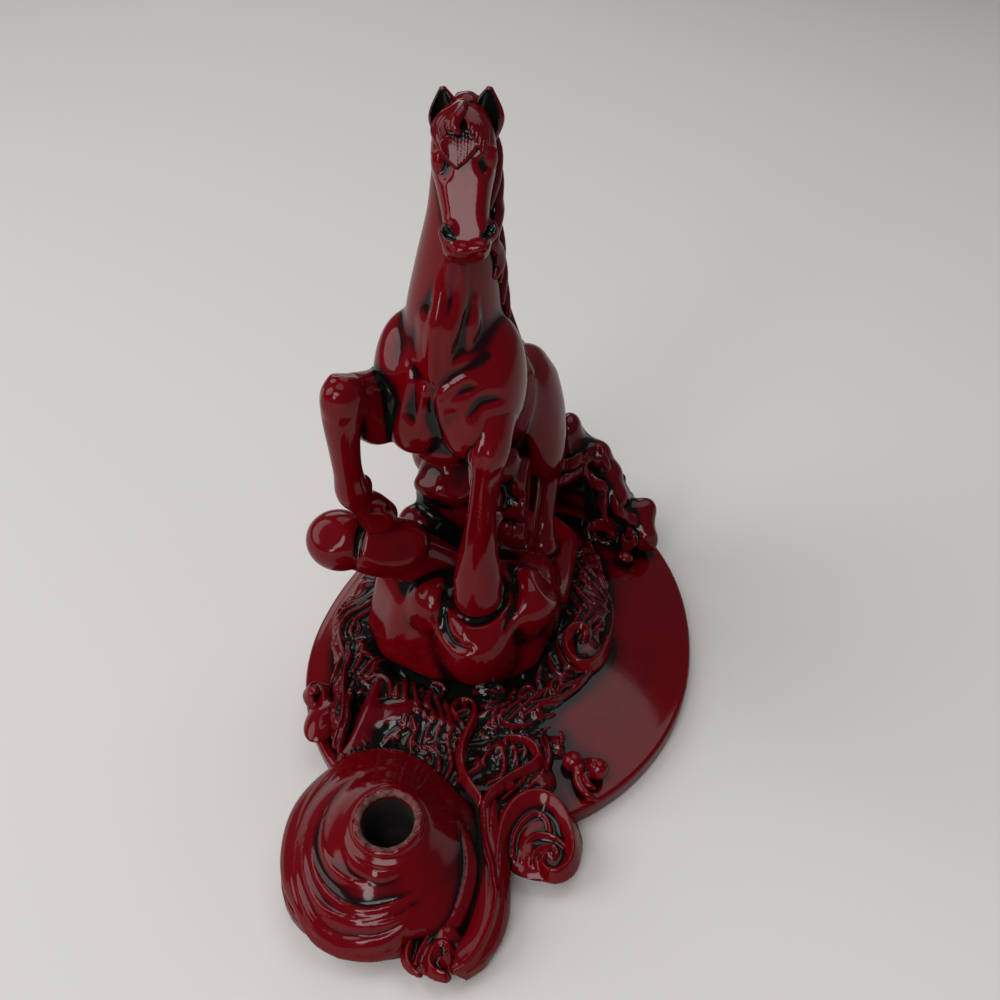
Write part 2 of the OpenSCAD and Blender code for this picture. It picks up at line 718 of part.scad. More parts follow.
module tail() {
    color(LACQUER_DARK) difference() {
        skin() difference() {
            tail_form();
            torso_form();
            loft(wave_rear_st, [0, 0, 1], 10);
            dome_form();
        }
        limb_dowel_holes();
    }
}

module planted_foreleg() {
    color(LACQUER) difference() {
        skin() difference() {
            planted_form();
            torso_form();
            under(fore_hoof[2]);
        }
        limb_dowel_holes();
        hoof_pin_holes();
    }
}

module raised_foreleg() {
    color(LACQUER) difference() {
        skin() difference() {
            raised_form();
            torso_form();
            loft(spur_st, [0, 0, 1]);
        }
        limb_dowel_holes();
    }
}

module hind_leg(hand, back) {
    color(LACQUER) difference() {
        skin() difference() {
            hind_form(hand, back);
            torso_form();
            under(ledge_z);
        }
        limb_dowel_holes();
        hoof_pin_holes();
    }
}

module right_hind_leg() {
    hind_leg(1, 0);
}

module left_hind_leg() {
    hind_leg(-1, left_hind_back);
}

// Joinery: pins stand in the middle of each sole, dowels lie along the limb where it leaves the torso

function sole(st) = place(st[len(st) - 2]);
fore_hoof = sole(planted_st);
soles = [fore_hoof, sole(hind_st(1, 0)), sole(hind_st(-1, left_hind_back))];
module hoof_pin_rods(d, l) {
    for (p = soles) translate(p - [0, 0, l / 2]) cylinder(h = l, d = d);
}

module hoof_pin_holes() {
    hoof_pin_rods(pin_d + 2 * pin_gap, pin_l + 2 * pin_gap);
}

module hoof_pins() {
    color(STEEL) hoof_pin_rods(pin_d, pin_l);
}

// Each limb dowel: a point on the seam and the direction out of the torso
limb_seams = [
    [[horse_x + 9.3, -11, seat_z + 56.5], [0.15, -0.75, -0.65]],
    [[horse_x - 11.5, -14, seat_z + 61.5], [-0.35, -0.9, 0.3]],
    [[horse_x + 12, 36, seat_z + 30], [0.5, 0, -0.85]],
    [[horse_x - 12, 36 + left_hind_back, seat_z + 30], [-0.5, 0, -0.85]],
    [[horse_x, -2, seat_z + 76], [0, 0, 1]],
    [[horse_x, 49, seat_z + 36.8], [0.05, 0.95, 0.2]]];
module limb_dowel_rods(d, l) {
    for (s = limb_seams) rod(s[0] - unit(s[1]) * l / 2, s[0] + unit(s[1]) * l / 2, d);
}

module limb_dowel_holes() {
    limb_dowel_rods(dowel_d + 2 * pin_gap, dowel_l + 2 * pin_gap);
}

module limb_dowels() {
    color(BEECH) limb_dowel_rods(dowel_d, dowel_l);
}

base_dowel_places = [[-22, 4], [0, 34], [-22, 40]];
module base_dowel_rods(d, top) {
    for (p = base_dowel_places) translate([p[0], p[1], plate_bottom]) cylinder(h = top - plate_bottom, d = d);
}

module base_dowel_holes() {
    base_dowel_rods(base_dowel_d + 2 * pin_gap, dome_top + 7);
}

module base_dowels() {
    color(BEECH) base_dowel_rods(base_dowel_d, dome_top + 6.5);
}

base_felt();
base_plate();
base_dome();
pen_socket();
swirl_stem();
front_curl();
side_scroll();
tendril_left();
tendril_right();
foam_bed();
wave_left();
curl_left();
wave_right();
curl_right();
wave_rear();
foam_beads();
rock();
rock_outcrop();
belly_support();
torso();
neck();
head();
ears();
forelock();
mane();
tail();
planted_foreleg();
raised_foreleg();
right_hind_leg();
left_hind_leg();
hoof_pins();
limb_dowels();
base_dowels();
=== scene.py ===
import json
import math

import bpy
import numpy as np
import openvdb
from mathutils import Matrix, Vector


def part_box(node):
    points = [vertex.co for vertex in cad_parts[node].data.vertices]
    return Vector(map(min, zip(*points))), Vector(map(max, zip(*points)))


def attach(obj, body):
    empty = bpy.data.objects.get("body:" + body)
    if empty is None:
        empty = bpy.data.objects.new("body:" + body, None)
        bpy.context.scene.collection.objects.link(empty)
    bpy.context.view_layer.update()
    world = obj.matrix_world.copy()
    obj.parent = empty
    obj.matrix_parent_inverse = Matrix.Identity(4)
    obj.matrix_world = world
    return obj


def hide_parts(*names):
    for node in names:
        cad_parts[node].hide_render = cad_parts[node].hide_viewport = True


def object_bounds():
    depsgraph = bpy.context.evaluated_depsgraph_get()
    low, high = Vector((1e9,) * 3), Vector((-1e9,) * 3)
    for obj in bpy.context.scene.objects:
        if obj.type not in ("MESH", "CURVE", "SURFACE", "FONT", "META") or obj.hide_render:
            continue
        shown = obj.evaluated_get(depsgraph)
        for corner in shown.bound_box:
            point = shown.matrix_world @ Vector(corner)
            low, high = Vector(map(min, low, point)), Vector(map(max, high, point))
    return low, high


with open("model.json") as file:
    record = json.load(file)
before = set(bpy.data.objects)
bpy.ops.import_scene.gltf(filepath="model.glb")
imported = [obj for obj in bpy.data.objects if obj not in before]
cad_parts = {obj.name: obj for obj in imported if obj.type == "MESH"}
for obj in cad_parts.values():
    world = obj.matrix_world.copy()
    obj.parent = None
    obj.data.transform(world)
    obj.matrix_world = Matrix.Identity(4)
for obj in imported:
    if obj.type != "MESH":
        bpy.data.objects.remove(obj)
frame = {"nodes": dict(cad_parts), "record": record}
solid_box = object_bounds()

# All shapes below are worked in millimetres and become metres when a mesh is made.
MM = 0.001


def low(node):
    return np.array(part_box(node)[0]) / MM


def high(node):
    return np.array(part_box(node)[1]) / MM


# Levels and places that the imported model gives
FELT_TOP = low("base_plate")[2]
PLATE_TOP = high("base_plate")[2]
DOME_TOP = high("base_dome")[2]
# The planted hoof stands this far over the seat, from which the stations of the horse count
HOOF_STEP = 5.0
SEAT = low("planted_foreleg")[2] - HOOF_STEP
HORSE = np.array([(low("torso")[0] + high("torso")[0]) / 2, 0, SEAT])
PEN_BORE = next(m for m in frame["record"]["mounts"] if m["name"] == "pen_bore")
PEN_R = PEN_BORE["dims"]["r_mm"]
PEN_DEPTH = PEN_BORE["dims"]["length_mm"]
PEN_AXIS = np.array(PEN_BORE["axis"])
PEN_MOUTH = np.array(PEN_BORE["pos_m"]) / MM + PEN_AXIS * PEN_DEPTH / 2

# Camera: where the photograph was taken from
CAMERA_AT = np.array([47.2, -214.8, 210.0])
CAMERA_TILT = math.radians(34.8)
CAMERA_TURN = math.radians(12)
LENS = 41.4
SENSOR = 36.0
PICTURE = 1000

camera = bpy.data.objects.new("camera", bpy.data.cameras.new("camera"))
bpy.context.collection.objects.link(camera)
camera.location = CAMERA_AT * MM
camera.rotation_euler = (math.pi / 2 - CAMERA_TILT, 0, CAMERA_TURN)
camera.data.lens = LENS
camera.data.sensor_width = SENSOR
camera.data.clip_start = 0.01
bpy.context.scene.camera = camera
bpy.context.scene.view_settings.view_transform = "Standard"

RIGHTWARD = np.array([math.cos(CAMERA_TURN), math.sin(CAMERA_TURN), 0])
AHEAD = np.array([-math.sin(CAMERA_TURN), math.cos(CAMERA_TURN), 0])
FORWARD = AHEAD * math.cos(CAMERA_TILT) - np.array([0, 0, math.sin(CAMERA_TILT)])
UPWARD = AHEAD * math.sin(CAMERA_TILT) + np.array([0, 0, math.cos(CAMERA_TILT)])


def sight(pixel):
    """The direction in which the camera sees a pixel of the photograph."""
    across, down = ((value - PICTURE / 2) / PICTURE * SENSOR / LENS for value in pixel)
    line = FORWARD + RIGHTWARD * across - UPWARD * down
    return line / np.linalg.norm(line)


# Sculpting: forms are signed distances on a grid of small cubes, negative inside
# The distance at which fields end
FAR = 6.0
# Points of a ring and rings between two stations of a loft
RING_SIDES = 56
LOFT_STEPS = 10


def spline(stations, steps):
    """A smooth curve through stations, which are rows of numbers."""
    rows = np.asarray(stations, float)
    ends = np.vstack([rows[:1], rows, rows[-1:]])
    curve = []
    for a, b, c, d in zip(ends, ends[1:], ends[2:], ends[3:]):
        for t in np.arange(steps) / steps:
            curve.append(b + 0.5 * t * (c - a + t * (2 * a - 5 * b + 4 * c - d + t * (3 * (b - c) + d - a))))
    return np.array(curve + [rows[-1]])


def unit(vector):
    return vector / np.linalg.norm(vector)


def ringed(rings, ends):
    """A closed mesh over rings of points, with a middle point for each end."""
    count = len(rings[0])
    last = count * (len(rings) - 1)
    tip = count * len(rings)
    after = [(k + 1) % count for k in range(count)]
    quads = []
    for first in range(0, last, count):
        for k in range(count):
            a = first + k
            b = first + after[k]
            quads.append((a, b, b + count, a + count))
    caps = []
    for k in range(count):
        caps.append((tip, after[k], k))
        caps.append((tip + 1, last + k, last + after[k]))
    return np.vstack([*rings, ends]), quads, caps


def loft(stations, side=(1, 0, 0), power=2.0):
    """A closed skin through oval rings at stations of x, y, z, half width along side and half height.
    A power over 2 squares the ovals."""
    path = spline(stations, LOFT_STEPS)
    turn = 2 * math.pi * np.arange(RING_SIDES) / RING_SIDES
    wide = np.sign(np.cos(turn)) * np.abs(np.cos(turn)) ** (2 / power)
    upright = np.sign(np.sin(turn)) * np.abs(np.sin(turn)) ** (2 / power)
    rings = []
    for i, station in enumerate(path):
        along = unit(path[min(i + 1, len(path) - 1), :3] - path[max(i - 1, 0), :3])
        u = unit(np.array(side) - along * np.dot(side, along))
        v = np.cross(along, u)
        rings.append(station[:3] + wide[:, None] * station[3] * u + upright[:, None] * station[4] * v)
    return ringed(rings, path[[0, -1], :3])


class Shape:
    """A form with its corners and a function that gives the distance to it on a grid of points."""

    def __init__(self, points, reach, distance):
        self.low = np.min(points, 0) - reach
        self.high = np.max(points, 0) + reach
        self.distance = distance


def skin(mesh):
    """The shape inside a closed mesh."""
    points, quads, triangles = mesh
    points = np.array(points)

    def distance(x, y, z):
        cube = x.flat[1] - x.flat[0]
        start = np.array([x.flat[0], y.flat[0], z.flat[0]])
        grid = openvdb.FloatGrid.createLevelSetFromPolygons(
            np.ascontiguousarray((points - start) / cube, np.float32),
            triangles=np.array(triangles, np.uint32).reshape(-1, 3),
            quads=np.array(quads, np.uint32).reshape(-1, 4),
            halfWidth=FAR / cube)
        field = np.empty((x.size, y.size, z.size), np.float32)
        grid.copyToArray(field)
        return field * cube

    return Shape(points, 0, distance)


def node_skin(node):
    """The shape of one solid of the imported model."""
    mesh = frame["nodes"][node].data
    points = np.array([v.co for v in mesh.vertices]) / MM
    mesh.calc_loop_triangles()
    triangles = [tuple(t.vertices) for t in mesh.loop_triangles]
    return skin((points, [], triangles))


def stroke(path):
    """A round bead along a path of x, y, z and radius."""
    path = np.asarray(path, float)

    def distance(x, y, z):
        nearest = np.float32(1e3)
        for a, b in zip(path, path[1:]):
            step = b - a
            length = max(np.dot(step[:3], step[:3]), 1e-9)
            f = ((x - a[0]) * step[0] + (y - a[1]) * step[1] + (z - a[2]) * step[2]) / length
            f = np.clip(f, 0, 1)
            gap = sum((axis - a[n] - f * step[n]) ** 2 for n, axis in enumerate((x, y, z)))
            nearest = np.minimum(nearest, np.sqrt(gap) - a[3] - f * step[3])
        return nearest

    return Shape(path[:, :3], path[:, 3].max(), distance)


def lump(centre, radii, turn=0.0, lean=0.0):
    """An egg-shaped form. It turns about the vertical and leans forward, in degrees."""
    centre = np.asarray(centre, float)
    c, s = math.cos(math.radians(turn)), math.sin(math.radians(turn))
    cl, sl = math.cos(math.radians(lean)), math.sin(math.radians(lean))

    def distance(x, y, z):
        u = (x - centre[0]) * c + (y - centre[1]) * s
        v = (y - centre[1]) * c - (x - centre[0]) * s
        w = (z - centre[2]) * cl - v * sl
        v = v * cl + (z - centre[2]) * sl
        size = np.sqrt((u / radii[0]) ** 2 + (v / radii[1]) ** 2 + (w / radii[2]) ** 2)
        slope = np.sqrt((u / radii[0] ** 2) ** 2 + (v / radii[1] ** 2) ** 2 + (w / radii[2] ** 2) ** 2)
        return size * (size - 1) / np.maximum(slope, 1e-6)

    return Shape(centre[None, :], max(radii), distance)


def slab(point, normal, reach):
    """Everything on the side of a plane that its normal points to, within reach of the point."""
    point = np.asarray(point, float)
    normal = unit(np.asarray(normal, float))

    def distance(x, y, z):
        return (point[0] - x) * normal[0] + (point[1] - y) * normal[1] + (point[2] - z) * normal[2]

    return Shape(point[None, :], reach, distance)


def smooth_min(a, b, blend):
    return np.minimum(a, b) - np.maximum(blend - np.abs(a - b), 0) ** 2 / (4 * blend)


# A bell curve ends at this many times its width
BELL_REACH = 2.5


def blurred(field, width):
    """A field blurred along each axis by a bell curve of a width in cubes."""
    half = int(BELL_REACH * width)
    bell = np.exp(-0.5 * (np.arange(-half, half + 1) / width) ** 2)
    bell /= bell.sum()
    for axis in range(3):
        first = np.repeat(field.take([0], axis), half, axis)
        last = np.repeat(field.take([-1], axis), half, axis)
        padded = np.concatenate([first, field, last], axis)
        total = 0
        for start, share in enumerate(bell):
            total = total + np.float32(share) * padded.take(range(start, start + field.shape[axis]), axis)
        field = total
    return field


# Loose bodies with a smaller share of a mesh's points are crumbs
CRUMB_SHARE = 0.01


def without_crumbs(points, quads):
    """A mesh without the loose bodies that hold less than a small share of its points."""
    edges = np.vstack([quads[:, 0:2], quads[:, 1:3], quads[:, 2:4]])
    body = np.arange(len(points))
    ends = body[edges]
    while np.any(ends[:, 0] != ends[:, 1]):
        least = ends.min(1)
        for side in range(2):
            np.minimum.at(body, ends[:, side], least)
        while np.any(body[body] != body):
            body = body[body]
        ends = body[edges]
    kept = np.bincount(body, minlength=len(points))[body] >= CRUMB_SHARE * len(points)
    renumbered = np.cumsum(kept) - 1
    return points[kept], renumbered[quads[kept[quads[:, 0]]]]


# Cubes that a block of clay has beyond its corners
SPARE_CUBES = 4
# How far beyond a shape the clay changes where it is added or cut
ADD_MARGIN = 2.5
CUT_MARGIN = 0.5
# The share of a weld's blend by which clay may grow
WELD_GROWTH = 0.85


class Clay:
    """A block of clay that shapes are added to and cut from."""

    def __init__(self, low_corner, high_corner, cube):
        self.cube = cube
        self.low = np.asarray(low_corner, float) - SPARE_CUBES * cube
        size = np.asarray(high_corner, float) - self.low
        self.count = np.ceil(size / cube).astype(int) + SPARE_CUBES + 1
        self.field = np.full(self.count, FAR, np.float32)

    def window(self, shape, margin):
        first = np.floor((shape.low - margin - self.low) / self.cube).astype(int)
        last = np.ceil((shape.high + margin - self.low) / self.cube).astype(int) + 1
        first = np.clip(first, 0, self.count - 2)
        last = np.clip(last, first + 2, self.count)
        x, y, z = (self.low[n] + self.cube * np.arange(first[n], last[n]) for n in range(3))
        slices = tuple(slice(a, b) for a, b in zip(first, last))
        return slices, (x[:, None, None], y[None, :, None], z[None, None, :])

    def add(self, shape, blend=0.4):
        slices, grid = self.window(shape, blend + ADD_MARGIN)
        self.field[slices] = smooth_min(self.field[slices], shape.distance(*grid), blend)
        return self

    def cut(self, shape, blend=0.4):
        slices, grid = self.window(shape, blend + CUT_MARGIN)
        self.field[slices] = -smooth_min(-self.field[slices], shape.distance(*grid), blend)
        return self

    def weld(self, shape, blend):
        """Flares the clay onto a neighbour, so that no step shows between the two."""
        slices, grid = self.window(shape, blend + ADD_MARGIN)
        own = self.field[slices]
        joined = smooth_min(own, shape.distance(*grid), blend)
        self.field[slices] = np.maximum(joined, own - WELD_GROWTH * blend)
        return self

    def soften(self, width):
        """Rounds all edges over a width."""
        self.field = blurred(self.field, width / self.cube)
        return self

    def ripple(self, depth, length, heading, wander):
        """Ridges of a depth, a length apart, along a heading in degrees. They wander sideways and break off,
        by waves of uneven rates, so that no pattern repeats."""
        x, y = (self.low[n] + self.cube * np.arange(self.count[n]) for n in range(2))
        x = x[:, None, None]
        y = y[None, :, None]
        c, s = math.cos(math.radians(heading)), math.sin(math.radians(heading))
        run = (x * c + y * s) / length
        side = (y * c - x * s) / length
        swing = np.sin(0.8 * run + 0.5 * side) + 0.6 * np.sin(0.9 * side - 0.6 * run + 1.3)
        ridge = 1 - np.abs(np.sin(math.pi * (side + wander * swing)))
        broken = 0.55 + 0.45 * np.sin(1.1 * run + 1.7 * np.sin(1.3 * side))
        self.field -= (depth * (ridge * broken - 0.25)).astype(np.float32)
        return self

    def copy(self):
        twin = Clay(self.low, self.low, self.cube)
        twin.low, twin.count, twin.field = self.low, self.count, self.field.copy()
        return twin

    def sample(self, points):
        place = (np.asarray(points) - self.low) / self.cube
        whole = np.clip(np.floor(place).astype(int), 0, self.count - 2)
        part = np.clip(place - whole, 0, 1)
        value = 0
        for corner in np.ndindex(2, 2, 2):
            share = np.prod(np.where(np.array(corner) == 1, part, 1 - part), axis=1)
            value = value + share * self.field[tuple((whole + corner).T)]
        outside = np.any((place < 0) | (place > self.count - 1), axis=1)
        return np.where(outside, FAR, value)

    def mesh(self):
        grid = openvdb.FloatGrid(FAR)
        grid.copyFromArray(self.field)
        points, quads = without_crumbs(*grid.convertToQuads(0.0))
        return points * self.cube + self.low, quads, []

    def shape(self):
        """The clay as a shape that other clay is welded to."""

        def distance(x, y, z):
            grid = np.broadcast_arrays(x, y, z)
            return self.sample(np.column_stack([axis.ravel() for axis in grid])).reshape(grid[0].shape)

        return Shape(np.array([self.low, self.low + self.cube * self.count]), 0, distance)


# A line of sight is walked between these distances, in steps
SIGHT_NEAR = 150.0
SIGHT_FAR = 420.0
SIGHT_STEP = 0.25


def struck(clay, eye, line):
    """The first point of a clay's surface that an eye sees along a line."""
    walk = np.arange(SIGHT_NEAR, SIGHT_FAR, SIGHT_STEP)
    values = clay.sample(eye + walk[:, None] * line)
    inside = np.nonzero(values < 0)[0]
    hit = inside[0] if len(inside) else int(np.argmin(values))
    share = values[hit - 1] / (values[hit - 1] - values[hit]) if values[hit] < 0 else 1.0
    return eye + line * (walk[hit - 1] + SIGHT_STEP * share)


def touch(clay, pixel):
    """The point of a clay's surface that shows at a pixel of the photograph."""
    return struck(clay, CAMERA_AT, sight(pixel))


def spread(values, count):
    """Values at a count of even steps along a list of them."""
    return np.interp(np.linspace(0, 1, count), np.linspace(0, 1, len(values)), values)


def drawn(clay, pixels, radii, sink=0.0, steps=5):
    """A path over a clay's surface through pixels of the photograph, with radii along it.
    A positive sink lowers it under the surface, seen along the camera's line."""
    points = [touch(clay, p) + sink * sight(p) for p in pixels]
    return spline(np.column_stack([points, spread(radii, len(points))]), steps)


# How far away an eye stands that looks from the right or from behind
RIGHT_AWAY = 300.0
BEHIND_AWAY = 200.0


def beside(clay, y, z):
    """The point of a clay's surface that shows from the right at a depth and a height."""
    return struck(clay, np.array([RIGHT_AWAY, y, z]), np.array([-1.0, 0, 0]))


def at_height(pixel, z):
    """The point at a height z that shows at a pixel of the photograph."""
    line = sight(pixel)
    return CAMERA_AT + line * (z - CAMERA_AT[2]) / line[2]


def at_depth(pixel, y):
    """The point at a depth y that shows at a pixel of the photograph."""
    line = sight(pixel)
    return CAMERA_AT + line * (y - CAMERA_AT[1]) / line[1]


def over(pixels, heights, radii):
    """A path over the desk at given heights that shows at pixels of the photograph, with radii along it."""
    points = [at_height(pixel, z) for pixel, z in zip(pixels, spread(heights, len(pixels)))]
    return spline(np.column_stack([points, spread(radii, len(pixels))]), 5)


# Materials


def linear(colour):
    """An sRGB hex colour as linear red, green, blue and alpha."""
    values = [int(colour[i:i + 2], 16) / 255 for i in (1, 3, 5)]
    return tuple(v / 12.92 if v <= 0.04045 else ((v + 0.055) / 1.055) ** 2.4 for v in values) + (1.0,)


def material(name, settings):
    """A new material and its shader, with constant inputs."""
    made = bpy.data.materials.new(name)
    made.use_nodes = True
    shader = made.node_tree.nodes["Principled BSDF"]
    for key, value in settings.items():
        shader.inputs[key].default_value = value
    return made, shader


def node(made, kind, settings=None, links=None):
    """Adds a shader node. Settings name its attributes or inputs, links name inputs and what feeds them."""
    added = made.node_tree.nodes.new(kind)
    for key, value in (settings or {}).items():
        if isinstance(key, str) and hasattr(added, key):
            setattr(added, key, value)
        else:
            added.inputs[key].default_value = value
    for key, source in (links or {}).items():
        made.node_tree.links.new(source, added.inputs[key])
    return added


def noise(made, size, detail, roughness=0.5, vector=None):
    """Cloudy noise with spots of a size in metres."""
    place = vector or node(made, "ShaderNodeTexCoord").outputs["Object"]
    settings = {"Scale": 1 / size, "Detail": detail, "Roughness": roughness}
    return node(made, "ShaderNodeTexNoise", settings, {"Vector": place}).outputs["Fac"]


def coloured(made, shader, source, stops):
    """Colours a shader by a ramp over a source. Its stops are pairs of position and hex colour."""
    added = node(made, "ShaderNodeValToRGB", None, {"Fac": source})
    elements = added.color_ramp.elements
    while len(elements) < len(stops):
        elements.new(0.5)
    for element, (position, colour) in zip(elements, stops):
        element.position = position
        element.color = linear(colour)
    made.node_tree.links.new(added.outputs["Color"], shader.inputs["Base Color"])


# The layer of the meshes that says how deep a point lies in a hollow, which darkens it as stain and as
# painted shade
STAIN_AND_SHADE_DEPTH = "stain_and_shade_depth"
# Sizes of spots in metres
CLOUD_SIZE = 0.012
PEEL_SIZE = 0.0022
CRUMBLE_SIZE = 0.0012
FIBRE_SIZE = 0.0006
# How far the stain varies from place to place
WEAR = 0.28
NEAR_BLACK = "#0b0a08"
GREENISH_BLACK = "#0e110d"


def lacquered_cast(name, red, deep, stained):
    """Clear gloss lacquer over a dark red stained cast. Polished faces are deep red with sharp soft-box
    reflections, and the stain that was wiped off them stays nearly black and greenish in the hollows, where
    the same ramp also paints their shade."""
    made, shader = material(name, {"Roughness": 0.45, "IOR": 1.5, "Specular IOR Level": 0.0,
                                   "Coat Weight": 0.6, "Coat Roughness": 0.1, "Coat IOR": 1.45})
    hollow = node(made, "ShaderNodeAttribute", {"attribute_name": STAIN_AND_SHADE_DEPTH})
    worn = node(made, "ShaderNodeMath", {"operation": "MULTIPLY_ADD", 1: WEAR, 2: stained - WEAR / 2},
                {0: noise(made, CLOUD_SIZE, detail=3.0, roughness=0.55)})
    # Stain and painted shade of the hollows, shifted by the even stain and its variation from place to place
    stain_and_shade = node(made, "ShaderNodeMath", {"operation": "ADD", "use_clamp": True},
                 {0: hollow.outputs["Fac"], 1: worn.outputs[0]})
    coloured(made, shader, stain_and_shade.outputs[0],
             [(0.0, red), (0.3, red), (0.52, deep), (0.72, NEAR_BLACK), (1.0, GREENISH_BLACK)])
    orange_peel = node(made, "ShaderNodeBump", {"Strength": 0.05, "Distance": 0.0002},
                       {"Height": noise(made, PEEL_SIZE, detail=1.0)})
    for socket in ("Normal", "Coat Normal"):
        made.node_tree.links.new(orange_peel.outputs["Normal"], shader.inputs[socket])
    return made


LACQUER = lacquered_cast("dark_red_lacquer_over_cast", "#600009", "#220105", stained=0.0)
STAINED = lacquered_cast("dark_red_lacquer_over_stained_cast", "#54010a", "#180204", stained=0.16)


def bare_cast(name, dark, pale):
    """Resin and wood powder that the drill bared: dull, grainy and without lacquer."""
    made, shader = material(name, {"Roughness": 0.85, "IOR": 1.5})
    coloured(made, shader, noise(made, CRUMBLE_SIZE, detail=4.0), [(0.3, dark), (0.7, pale)])
    return made


BARE = bare_cast("bare_cast_of_resin_and_wood_powder", "#2c0c0e", "#74443e")
# The bare cast inside the pen hole, painted nearly black as the shade deep in the hole
BORE_IN_PAINTED_SHADE = bare_cast("bare_cast_painted_dark_as_shade_in_pen_hole", "#070404", "#1c0f0c")


def grained(name, dark, pale, stretch, roughness, metallic=0.0):
    """A plain material whose tone varies along fibres or drawing lines, stretched along the upright axis."""
    made, shader = material(name, {"Roughness": roughness, "Metallic": metallic, "IOR": 1.5})
    place = node(made, "ShaderNodeTexCoord")
    fibres = node(made, "ShaderNodeMapping", {"Scale": (1.0, 1.0, 1 / stretch)},
                  {"Vector": place.outputs["Object"]})
    grain = noise(made, FIBRE_SIZE, detail=3.0, vector=fibres.outputs["Vector"])
    coloured(made, shader, grain, [(0.3, dark), (0.7, pale)])
    return made


# Short wool fibres pressed flat: matt and nearly black, with no direction
FELT = grained("pressed_felt", "#121214", "#26262a", stretch=1, roughness=0.95)
# Bright drawn wire: grey mirror with fine lines along the pin
STEEL = grained("drawn_steel_wire", "#8c8c90", "#b4b4b8", stretch=12, roughness=0.3, metallic=1.0)
# Pale fine-grained wood with fibres along the dowel
BEECH = grained("turned_beech", "#a8814f", "#cba878", stretch=12, roughness=0.6)

FINISHES = {"lacquer": LACQUER, "lacquer_dark": STAINED, "felt": FELT, "pin_steel": STEEL,
            "dowel_beech": BEECH}
# The pieces made so far, each with its mesh and clay
PIECES = {}
# Shapes of holes that are painted black, as the stain in them and the shade that falls in them, by the name
# of the piece, and how far beyond them the black reaches
DARKENED_HOLES = {}
DARKENED_HOLE_REACH = 0.35


def piece(name, nodes, slot, clay=None, mesh=None):
    """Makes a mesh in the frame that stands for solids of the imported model."""
    points, quads, triangles = mesh or clay.mesh()
    data = bpy.data.meshes.new(name)
    faces = [tuple(int(i) for i in f) for f in quads] + [tuple(int(i) for i in f) for f in triangles]
    data.from_pydata((np.asarray(points) * MM).tolist(), [], faces)
    data.validate()
    data.shade_smooth()
    data.materials.append(FINISHES[slot])
    made = bpy.data.objects.new(name, data)
    bpy.context.collection.objects.link(made)
    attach(made, "root")
    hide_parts(*nodes)
    PIECES[name] = (made, (points, quads, triangles), clay)
    return made


# Horse


def horse(stations):
    """Stations of the horse, which count from its seat, in the frame."""
    rows = np.array(stations, float)
    rows[:, :3] += HORSE
    return rows


def on_horse(x, y, z):
    return HORSE + np.array([x, y, z], float)


TORSO = [
    [0, -18.4, 58.5, 4, 5], [0, -16.8, 58.8, 10, 11.6], [0, -12.5, 59, 13.4, 15.4], [0, -6, 58.4, 15, 17],
    [0, 4, 55, 14.8, 17], [0, 15, 47, 13.2, 15.4], [0, 26, 39.5, 13.6, 15], [0, 36, 33, 14.6, 15.8],
    [0, 45, 28.5, 12.8, 14.8], [0, 51.5, 25.5, 7.5, 9.4], [0, 54, 24.5, 2.2, 3],
]
NECK = [
    [0, 1, 54, 9.5, 14], [0.2, -2.5, 66, 10.6, 14.6], [0.6, -3.2, 77, 9.9, 13.2],
    [1.7, -4.6, 88, 8.2, 11], [2.9, -5.4, 99, 6.4, 9.5], [3.4, -5, 108, 5.6, 8.2],
    [3.6, -4, 114, 4.2, 5.5], [3.6, -3.6, 116, 2, 2.5],
]

# Lines on the breast and neck, in pixels of the photograph
V_CREASE = [(408, 362), (413, 372), (422, 384), (432, 392), (443, 385), (457, 375), (473, 366), (489, 355)]
BREAST_FOLDS = [
    [(432, 393), (429, 407), (431, 421), (437, 436)],
    [(470, 416), (481, 404), (497, 400), (506, 400)],
    [(412, 372), (412, 392), (411, 412), (412, 426)],
    [(443, 404), (455, 397), (468, 390), (478, 388)],
]
NECK_RIDGES = [
    [(450, 262), (443, 290), (437, 325), (432, 350), (432, 385)],
    [(462, 265), (458, 300), (449, 335), (445, 362)],
    [(474, 300), (471, 325), (467, 345)],
]

# Muscles on both sides of the trunk: place, radii, lean in degrees and blend
SHOULDER = ((10.5, -6, 63), (5.6, 10, 12), -20, 3)
BREAST = ((6, -14.8, 55.5), (6, 4.6, 7.6), 0, 1.2)
HAUNCH = ((9, 36, 36), (6.5, 12, 12), 30, 4)
# The soft ridge down the throat, with its radius
THROAT = [[0.6, -13, 78, 5], [-0.6, -15.4, 70, 3.4], [-1.4, -17.2, 64, 1.6]]


def horse_trunk():
    clay = Clay(on_horse(-19, -23, 4), on_horse(19, 57, 120), cube=0.45)
    clay.add(skin(loft(horse(TORSO))))
    for hand in (-1, 1):
        for (x, y, z), radii, lean, blend in (SHOULDER, BREAST, HAUNCH):
            clay.add(lump(on_horse(hand * x, y, z), radii, lean=lean), blend)
    clay.add(skin(loft(horse(NECK))), blend=3.5)
    clay.add(stroke(spline(horse(THROAT), 8)), blend=1.2)
    for line in NECK_RIDGES:
        clay.add(stroke(drawn(clay, line, [0.5, 1.5, 1.7, 1.2, 0.4], sink=0.5)), blend=1.4)
    clay.cut(stroke(drawn(clay, V_CREASE, [0.5, 1.2, 1.5, 1.2, 0.4], sink=-0.8)), blend=1.2)
    for line in BREAST_FOLDS:
        clay.cut(stroke(drawn(clay, line, [0.4, 1.2, 1.2, 0.4], sink=-0.8)), blend=1.4)
    piece("horse_trunk", ["torso", "neck"], "lacquer", clay)
    return clay


